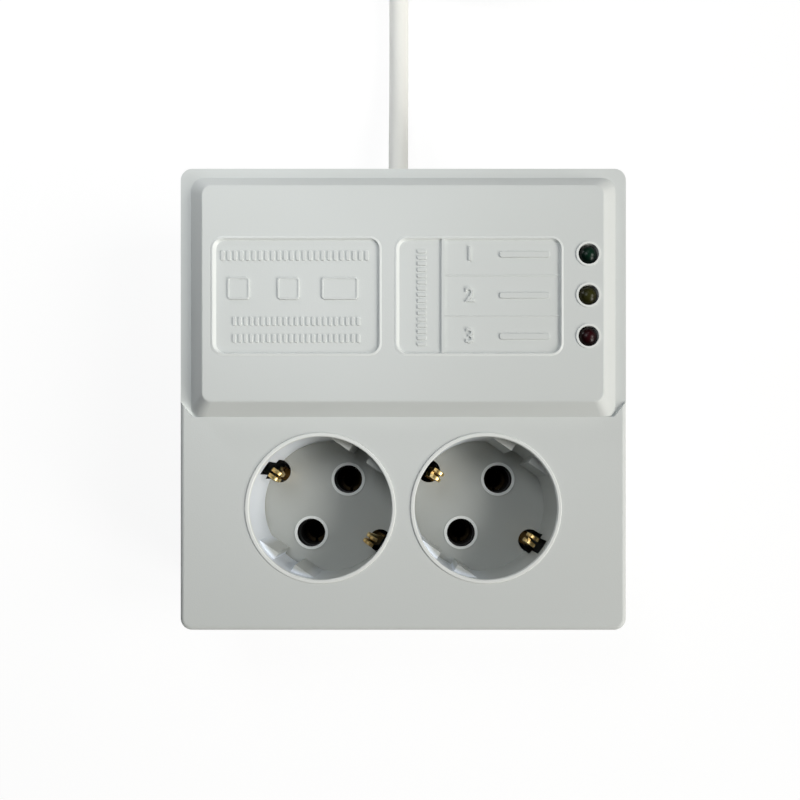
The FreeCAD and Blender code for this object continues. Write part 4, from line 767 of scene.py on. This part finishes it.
GROMMET_START, GROMMET_STEP, GROMMET_RINGS = (-2.3, 63.4, 9.0), 1.9, 5
GROMMET_RADIUS, GROMMET_WIDTH, GROMMET_SHRINK = 5.48, 0.95, 0.046
RING_DEPTH = 0.7
PLUG_RADIUS, PLUG_REACH = 18.5, 34.5
PLUG_HEADING = math.radians(180 - (TAIL_RUNS - 1) * TAIL_TURN)
PLUG_RINGS, PLUG_RING_STEP, PLUG_RING_WIDTH = 6, 2.2, 1.1
PLUG_RING_START, PLUG_RING_RADIUS, PLUG_RING_GROWTH = 1.0 - PLUG_REACH, 4.33, 0.0393
GRIP_RIBS, GRIP_STEP, GRIP_STARTS = 4, 10.0, (45.0, 105.0, -75.0, -135.0)
GRIP_LOW, GRIP_HIGH, GRIP_WIDTH, GRIP_RISE = 8.5, 20.5, 1.3, 0.35
GRIP_CORNER, GRIP_EDGE = 0.5, 0.2
TIE_NEAR, TIE_FAR, TIE_TOP, TIE_CORNER, TIE_CORNER_STEPS = 26.4, 47.2, 15.0, 4.1, 6
TIE_WIDTH, TIE_THICKNESS, TIE_EASE, TIE_EDGE = 8.0, 0.6, 0.1, 0.15
TIE_LAP_STOP, TIE_LAP_GAP = 5.0, 0.03


def grommet_rings():
    """Rings round the grommet that shrink towards its end."""
    ring = hoop(GROMMET_RADIUS, RING_DEPTH, GROMMET_WIDTH)
    ring.transform(Matrix.Rotation(math.pi / 2, 4, "Z"))
    column = (GROMMET_RINGS, (0, GROMMET_STEP, 0))
    rings = in_rows(ring, RELIEF_RUBBER, GROMMET_START, column, shrink=GROMMET_SHRINK)
    return piece("grommet_rings", [rings], RELIEF_RUBBER)


def plug_place(along, height):
    """A place on the plug's long line, counted from the middle of its round body."""
    x, y, _ = tail_points()[-1]
    reach = PLUG_REACH + along
    return millimetres(x + reach * math.cos(PLUG_HEADING), y + reach * math.sin(PLUG_HEADING), height)


def plug_mouldings():
    """The rings of the plug's neck, and the grip ribs round its body."""
    ring = hoop(PLUG_RING_RADIUS, RING_DEPTH, PLUG_RING_WIDTH)
    ring.transform(Matrix.Rotation(PLUG_HEADING, 4, "Z"))
    rings = spread(
        ring,
        ROWS_TREE,
        PLUG_PLASTIC,
        columns=PLUG_RINGS,
        rows=1,
        column_step=plug_place(PLUG_RING_STEP, 0) - plug_place(0, 0),
        row_step=millimetres(*NO_STEP),
        start=plug_place(PLUG_RING_START, COIL_HIGH),
        shrink=-PLUG_RING_GROWTH,
    )
    rib = raised_bar(GRIP_HIGH - GRIP_LOW, GRIP_WIDTH, 2 * GRIP_RISE, GRIP_CORNER, edge=GRIP_EDGE)
    rib.transform(Matrix.Rotation(math.pi / 2, 4, "Y"))
    rib.transform(Matrix.Translation(millimetres(PLUG_RADIUS - GRIP_RISE, 0, (GRIP_LOW + GRIP_HIGH) / 2)))
    ribs = [
        spread(
            rib,
            TURNED_TREE,
            PLUG_PLASTIC,
            count=GRIP_RIBS,
            centre=plug_place(0, 0),
            first_turn=PLUG_HEADING + math.radians(first),
            turn_step=math.radians(GRIP_STEP),
        )
        for first in GRIP_STARTS
    ]
    return piece("plug_mouldings", [rings, *ribs], PLUG_PLASTIC)


def tie_line(lift):
    """Places and outward ways round the tie's inner face, raised by so much."""
    corner, steps = TIE_CORNER - TIE_THICKNESS, TIE_CORNER_STEPS
    low_y, high_y = COIL_MIDDLE[1] + TIE_NEAR, COIL_MIDDLE[1] + TIE_FAR
    low_z, high_z = TIE_THICKNESS, TIE_TOP - TIE_THICKNESS
    line = []
    corners = (
        # y, z, and the ways in to the corner's middle
        (low_y, high_z, 1, -1),
        (high_y, high_z, -1, -1),
        (high_y, low_z, -1, 1),
        (low_y, low_z, 1, 1),
    )
    for i, (y, z, in_y, in_z) in enumerate(corners):
        for k in range(steps + 1):
            angle = math.radians(180 - 90 * (i + k / steps))
            way = (math.cos(angle), math.sin(angle))
            reach = corner + lift
            line.append(((y + in_y * corner + way[0] * reach, z + in_z * corner + way[1] * reach), way))
    return line


def tie_band(line, closed):
    """A strap with eased edges, laid along places and outward ways."""
    half, thick = TIE_WIDTH / 2, TIE_THICKNESS
    section = (
        (TIE_EASE - half, 0.0),
        (half - TIE_EASE, 0.0),
        (half, TIE_EDGE),
        (half, thick - TIE_EDGE),
        (half - TIE_EASE, thick),
        (TIE_EASE - half, thick),
        (-half, thick - TIE_EDGE),
        (-half, TIE_EDGE),
    )
    rings = []
    for (y, z), way in line:
        x = COIL_MIDDLE[0]
        rings.append([millimetres(x + side, y + way[0] * out, z + way[1] * out) for side, out in section])
    return stack(rings, closed=not closed)


def coil_strap():
    """A hook and loop tie: once round the coil, and its free end lapped over the inner edge and the top."""
    lap = tie_line(TIE_THICKNESS + TIE_LAP_GAP)[: TIE_CORNER_STEPS + 1]
    lap_end = COIL_MIDDLE[1] + TIE_FAR - TIE_LAP_STOP
    lap.append(((lap_end, lap[-1][0][1]), (0.0, 1.0)))
    bands = [tie_band(tie_line(0.0), closed=True), tie_band(lap, closed=False)]
    return piece("coil_strap", bands, TIE, replaced=("coil_tie",))


LEAD_PIECES = [grommet_rings(), plug_mouldings(), coil_strap()]


def mains_lead():
    """The lead, one smooth curve from the grommet to the plug."""
    curve = bpy.data.curves.new("mains_lead_line", "CURVE")
    curve.dimensions = "3D"
    curve.bevel_depth = CORD_RADIUS
    curve.bevel_resolution = 5
    curve.use_fill_caps = True
    route = [millimetres(*p) for p in LEAD_ROUTE + coil_points() + tail_points()]
    spline = curve.splines.new("NURBS")
    spline.points.add(len(route) - 1)
    for point, spot in zip(spline.points, route):
        point.co = (*spot, 1.0)
    spline.order_u = 3
    spline.use_endpoint_u = True
    spline.resolution_u = 6
    curve.materials.append(SHEATH)
    lead = bpy.data.objects.new("mains_lead_line", curve)
    bpy.context.scene.collection.objects.link(lead)
    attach(lead, CASE)
    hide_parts("mains_lead", "mains_lead_coil", "mains_lead_tail")


mains_lead()


# Marks on the two labels: plain raised pads where a label has its lines, signs and row numbers

MARK_HEIGHT, MARK_CORNER = 0.35, 0.3
LABEL_LINES = (
    # first rib's x, y, ribs, pitch, rib width, rib length
    (-46.6, 36.5, 24, 1.62, 0.95, 2.5),
    (-43.6, 19.5, 23, 1.46, 0.85, 2.2),
    (-43.6, 15.1, 23, 1.46, 0.85, 2.2),
)
# x, y, width, length
PLAQUES = ((-42.5, 28.0, 5.7, 5.7), (-29.6, 28.0, 5.7, 5.7), (-16.3, 28.0, 9.4, 5.7))
PLAQUE_HEIGHT, PLAQUE_CORNER, PLAQUE_SUNK = 0.40, 0.8, 0.18
COLUMN_X, COLUMN_START, COLUMN_PITCH, COLUMN_RIBS = 4.9, 13.6, 1.6, 16
COLUMN_WIDTH, COLUMN_LENGTH = 2.4, 0.95
NUMBER_X, NUMBER_SIZE, NUMBER_EASE = 17.3, 5.2, 0.04
LEADER_X, LEADER_LENGTH, LEADER_WIDTH, LEADER_CORNER = 31.5, 13.0, 1.5, 0.5
DIVIDERS, DIVIDER_X, DIVIDER_LENGTH = (31.4, 20.9), 26.0, 30.0
DIVIDER_WIDTH, DIVIDER_HEIGHT, DIVIDER_CORNER, DIVIDER_EDGE = 0.35, 0.12, 0.15, 0.05
SAME_SPOT = 1e-6


def number_mesh(digit, x, y):
    """A raised figure, upright on the label's floor."""
    curve = bpy.data.curves.new("figure", "FONT")
    curve.body = str(digit)
    curve.align_x, curve.align_y = "CENTER", "CENTER"
    curve.size = NUMBER_SIZE * MM
    curve.extrude = MARK_HEIGHT * MM / 2
    curve.bevel_depth = NUMBER_EASE * MM
    curve.bevel_resolution = 1
    curve.offset = NUMBER_EASE * MM
    holder = bpy.data.objects.new("figure", curve)
    bpy.context.scene.collection.objects.link(holder)
    depsgraph = bpy.context.evaluated_depsgraph_get()
    mesh = bpy.data.meshes.new_from_object(holder.evaluated_get(depsgraph))
    bpy.data.objects.remove(holder)
    mesh.transform(Matrix.Translation(millimetres(x, y, LABEL_FLOOR / MM + MARK_HEIGHT / 2)))
    work = bmesh.new()
    work.from_mesh(mesh)
    bmesh.ops.remove_doubles(work, verts=work.verts, dist=SAME_SPOT)
    work.to_mesh(mesh)
    work.free()
    return mesh


# middle's x, width
LABEL_FRAMES = ((-27.55, 43.3), (19.6, 42.8))
LABEL_MIDDLE, LABEL_LENGTH, LABEL_CORNER_STEPS = 25.95, 30.9, 8
FRAME_PROFILE = (
    # in from the recess at its left, its right and both ends, corner, height
    (-0.6, -0.6, -0.15, 3.4, 45.95),
    (0.0, 0.0, 0.45, 2.9, 46.2),
    (0.15, 0.1, 0.55, 2.8, 46.2),
    (0.95, 0.2, 0.95, 2.3, 45.45),
)


def label_frame(x, width):
    """A low raised edge round a label, eased outwards and sloped down to the label's floor."""
    rings = []
    for left, right, end, corner, height in FRAME_PROFILE:
        wide, long = width - left - right, LABEL_LENGTH - 2 * end
        ring = rounded_ring(wide, long, corner, height, steps=LABEL_CORNER_STEPS)
        rings.append([spot + millimetres(x + (left - right) / 2, LABEL_MIDDLE, 0) for spot in ring])
    return stack(rings, closed=False)


# The frames in a paler plastic: a painted highlight along the labels' edges
piece("label_frames", [label_frame(*label) for label in LABEL_FRAMES], FRAME_HIGHLIGHT_PLASTIC)


def label_marks():
    """Ribs for the lines, framed plaques for the signs, and a figure and a leader beside each light."""
    meshes = []
    floor = LABEL_FLOOR / MM
    for x, y, count, pitch, width, length in LABEL_LINES:
        rib = raised_bar(width, length, MARK_HEIGHT, MARK_CORNER)
        meshes.append(in_rows(rib, CASE_PLASTIC, (x, y, floor), column=(count, (pitch, 0, 0))))
    for x, y, width, length in PLAQUES:
        plaque = raised_bar(width, length, PLAQUE_HEIGHT, PLAQUE_CORNER, sunk=PLAQUE_SUNK)
        plaque.transform(Matrix.Translation(millimetres(x, y, floor)))
        meshes.append(plaque)
    column_rib = raised_bar(COLUMN_WIDTH, COLUMN_LENGTH, MARK_HEIGHT, MARK_CORNER)
    leader = raised_bar(LEADER_LENGTH, LEADER_WIDTH, MARK_HEIGHT, LEADER_CORNER)
    divider = raised_bar(DIVIDER_LENGTH, DIVIDER_WIDTH, DIVIDER_HEIGHT, DIVIDER_CORNER, edge=DIVIDER_EDGE)
    first_light, light_step = LIGHT_ROWS[0] / MM, (LIGHT_ROWS[1] - LIGHT_ROWS[0]) / MM
    rows = (
        # pad, x, first y, rows, step
        (column_rib, COLUMN_X, COLUMN_START, COLUMN_RIBS, COLUMN_PITCH),
        (leader, LEADER_X, first_light, len(LIGHT_ROWS), light_step),
        (divider, DIVIDER_X, DIVIDERS[0], len(DIVIDERS), DIVIDERS[1] - DIVIDERS[0]),
    )
    for pad, x, y, count, step in rows:
        meshes.append(in_rows(pad, CASE_PLASTIC, (x, y, floor), row=(count, (0, step, 0))))
    for digit, y in enumerate(LIGHT_ROWS, 1):
        meshes.append(number_mesh(digit, NUMBER_X, y / MM))
    piece("label_marks", meshes, CASE_PLASTIC)


label_marks()


# Earth clips: a sprung strip splits into two prongs, which bow in over the well and roll back at the tip

CLIP_LINE = (
    # distance from the well's middle, height
    (17.6, 21.85),
    (17.6, 25.6),
    (15.9, 30.4),
    (13.6, 35.6),
    (14.3, 37.9),
    (15.7, 38.5),
    (17.1, 38.35),
)
CLIP_WIDTH, CLIP_THICKNESS, CLIP_SLOT, CLIP_EASE = 2.8, 0.8, 0.75, 0.14
CLIP_SPLIT = 29.0
CORNER_ROUNDS = 3


def softened(line, rounds):
    """Cuts the corners of an open line again and again; its ends stay."""
    for _ in range(rounds):
        cut = [line[0]]
        for (x0, z0), (x1, z1) in zip(line, line[1:]):
            for share in (0.25, 0.75):
                cut.append(((1 - share) * x0 + share * x1, (1 - share) * z0 + share * z1))
        cut.append(line[-1])
        line = cut
    return line


def strip_along(line, low, high):
    """A strip between two side places, with eased edges, its inner face along a line."""
    rings = []
    ease, thick = CLIP_EASE, CLIP_THICKNESS
    for i, (r, z) in enumerate(line):
        before, after = line[max(i - 1, 0)], line[min(i + 1, len(line) - 1)]
        run = Vector((after[0] - before[0], after[1] - before[1])).normalized()
        out = (run.y, -run.x)
        section = (
            (low + ease, 0.0),
            (high - ease, 0.0),
            (high, ease),
            (high, thick - ease),
            (high - ease, thick),
            (low + ease, thick),
            (low, thick - ease),
            (low, ease),
        )
        rings.append([millimetres(r + out[0] * deep, side, z + out[1] * deep) for side, deep in section])
    return stack(rings)


def earth_clips():
    """Each clip is a root and two prongs, which start a little way down in the root."""
    line = softened(CLIP_LINE, CORNER_ROUNDS)
    root = [spot for spot in line if spot[1] < CLIP_SPLIT]
    arm = line[len(root) - 2 :]
    half = CLIP_WIDTH / 2
    for side, side_name in ((-1, "left"), (1, "right")):
        for end, end_name in ((1, "upper"), (-1, "lower")):
            strips = [
                strip_along(root, -half, half),
                strip_along(arm, -half, -CLIP_SLOT / 2),
                strip_along(arm, CLIP_SLOT / 2, half),
            ]
            place = Matrix.Translation(Vector((side * SOCKET_X, SOCKET_Y, 0.0)))
            turn = Matrix.Rotation(PIN_TURN + end * math.pi / 2, 4, "Z")
            for strip in strips:
                strip.transform(place @ turn)
            body = f"earth_clip_{side_name}_{end_name}"
            piece(f"sprung_{body}", strips, CLIP_BRASS, replaced=(body,), body=body)


earth_clips()


# Case screws: pan heads with a cross recess, up inside the back's wells

SCREW_X, SCREW_NEAR_Y, SCREW_FAR_Y = 50.6, -53.6, 51.6
SCREW_SEAT, SCREW_HEAD, SCREW_HEAD_HEIGHT = 3.4, 2.8, 2.0
SCREW_SHANK, SCREW_TOP, SCREW_TIP, SCREW_TIP_SHARE, SCREW_SIDES = 1.5, 19.0, 1.0, 0.5, 40
# share of the head's radius, height above the head's underside
SCREW_DOME = ((0.55, 0.0), (0.86, 0.25), (0.98, 0.85), (1.0, 1.3))
RECESS_WIDTH, RECESS_REACH, RECESS_DEPTH = 0.75, 1.6, 1.1
RECESS_FLARE, RECESS_TAPER, RECESS_CORNER, RECESS_START = 2.0, 1.2, 0.1, 0.3


def cut_away(body, tool):
    """The body's mesh less the tool's."""
    objects = []
    for mesh in (body, tool):
        objects.append(bpy.data.objects.new("cutting", mesh))
        bpy.context.scene.collection.objects.link(objects[-1])
    modifier = objects[0].modifiers.new("cut", "BOOLEAN")
    modifier.operation, modifier.solver, modifier.object = "DIFFERENCE", "EXACT", objects[1]
    depsgraph = bpy.context.evaluated_depsgraph_get()
    mesh = bpy.data.meshes.new_from_object(objects[0].evaluated_get(depsgraph))
    for thing in objects:
        bpy.data.objects.remove(thing)
    return mesh


def case_screws():
    """One turned screw, less its cross, at the four corners."""
    low = SCREW_SEAT - SCREW_HEAD_HEIGHT
    profile = [(SCREW_HEAD * share, low + rise) for share, rise in SCREW_DOME] + [
        (SCREW_HEAD, SCREW_SEAT),
        (SCREW_SHANK, SCREW_SEAT),
        (SCREW_SHANK, SCREW_TOP - SCREW_TIP),
        (SCREW_SHANK * SCREW_TIP_SHARE, SCREW_TOP),
    ]
    screw = stack([turned_ring(radius, z, SCREW_SIDES) for radius, z in profile])
    for wide, long in ((RECESS_WIDTH, RECESS_REACH), (RECESS_REACH, RECESS_WIDTH)):
        outer = (wide * RECESS_FLARE, long * RECESS_FLARE, RECESS_CORNER, low - RECESS_START)
        inner = (wide * RECESS_TAPER, long * RECESS_TAPER, RECESS_CORNER, low + RECESS_DEPTH)
        slot = stack([rounded_ring(*outer, steps=1), rounded_ring(*inner, steps=1)])
        screw = cut_away(screw, slot)
    made = in_rows(
        screw,
        SCREW_STEEL,
        (-SCREW_X, SCREW_NEAR_Y, 0),
        column=(2, (2 * SCREW_X, 0, 0)),
        row=(2, (0, SCREW_FAR_Y - SCREW_NEAR_Y, 0)),
    )
    piece("cross_head_screws", [made], SCREW_STEEL, replaced=("case_screws",))


case_screws()


# Stage: a pale floor that is white to the camera, and soft light

FLOOR_HALF, FLOOR_DROP = 2.0, 0.00005
PAPER_GREY, GLOWING_GREY, FLOOR_GLOW = 0.6, 0.14, 0.9
AIR_TONE, AIR_GLOW = (0.93, 0.96, 1.0, 1.0), 0.01


def grey(level):
    return (level, level, level, 1.0)


def add_floor():
    """A grey paper to the light that bounces, and near white to the camera and in reflections."""
    mesh = bpy.data.meshes.new("studio_floor")
    corners = [(x * FLOOR_HALF, y * FLOOR_HALF, 0) for x, y in ((-1, -1), (1, -1), (1, 1), (-1, 1))]
    mesh.from_pydata(corners, [], [(0, 1, 2, 3)])
    floor = bpy.data.objects.new("studio_floor", mesh)
    floor.location.z = -FLOOR_DROP
    bpy.context.scene.collection.objects.link(floor)
    material = bpy.data.materials.new("floor_paper")
    material.use_nodes = True
    material.node_tree.nodes.clear()
    w = Wiring(material.node_tree)
    rays = w.put("LightPath")
    seen = w.math("MAXIMUM", rays.outputs["Is Camera Ray"], rays.outputs["Is Glossy Ray"])
    seen = w.math("MAXIMUM", seen, rays.outputs["Is Transmission Ray"])
    paper = w.put("BsdfDiffuse", {"Color": grey(PAPER_GREY)})
    pale = w.put("BsdfDiffuse", {"Color": grey(GLOWING_GREY)})
    glow = w.put("Emission", {"Color": grey(1.0), "Strength": FLOOR_GLOW})
    lit = w.put("AddShader", {0: pale.outputs[0], 1: glow.outputs[0]})
    mix = w.put("MixShader", {0: seen, 1: paper.outputs[0], 2: lit.outputs[0]})
    w.link(mix.outputs[0], w.put("OutputMaterial").inputs["Surface"])
    mesh.materials.append(material)


def add_world():
    """Faint bluish air, and white where the camera sees past the floor."""
    world = bpy.data.worlds.new("studio_air")
    bpy.context.scene.world = world
    world.use_nodes = True
    world.node_tree.nodes.clear()
    w = Wiring(world.node_tree)
    rays = w.put("LightPath")
    air = w.put("Background", {"Color": AIR_TONE, "Strength": AIR_GLOW})
    white = w.put("Background", {"Color": grey(1.0), "Strength": 1.0})
    mix = w.put("MixShader", {0: rays.outputs["Is Camera Ray"], 1: air.outputs[0], 2: white.outputs[0]})
    w.link(mix.outputs[0], w.put("OutputWorld").inputs["Surface"])


def add_lamp(name, place, aim, size, power, colour):
    """A round lamp, in metres and watts, turned to its aim."""
    data = bpy.data.lights.new(name, "AREA")
    data.shape = "DISK"
    data.size = size
    data.energy = power
    data.color = colour
    lamp = bpy.data.objects.new(name, data)
    lamp.location = place
    lamp.rotation_mode = "QUATERNION"
    lamp.rotation_quaternion = (Vector(aim) - Vector(place)).to_track_quat("-Z", "Y")
    bpy.context.scene.collection.objects.link(lamp)


add_floor()
add_world()
MIDDLE = (0.0, 0.0, 0.04)
DAYLIGHT, COOL_LIGHT = (1.0, 0.98, 0.93), (0.93, 0.97, 1.0)
LAMPS = {
    # name: place, aim, size, power, colour
    "window_right": ((1.5, 0.0, 1.3), MIDDLE, 0.75, 14.2, DAYLIGHT),
    "window_front": ((1.26, -0.78, 1.3), MIDDLE, 0.75, 4.3, DAYLIGHT),
    "window_low": ((1.5, -0.95, 0.84), MIDDLE, 0.75, 15.8, DAYLIGHT),
    "ceiling_panel": ((-0.06, 0.09, 0.27), (-0.04, 0.05, 0.04), 0.12, 0.18, COOL_LIGHT),
    "shelf_lamp": ((0.05, 0.20, 0.25), (0.0, 0.05, 0.04), 0.12, 0.04, COOL_LIGHT),
    "lead_lamp": ((-0.12, 0.17, 0.10), (-0.002, 0.15, 0.003), 0.05, 0.082, (0.98, 0.99, 1.0)),
}
for name, settings in LAMPS.items():
    add_lamp(name, *settings)
bpy.context.scene.view_settings.view_transform = "Standard"
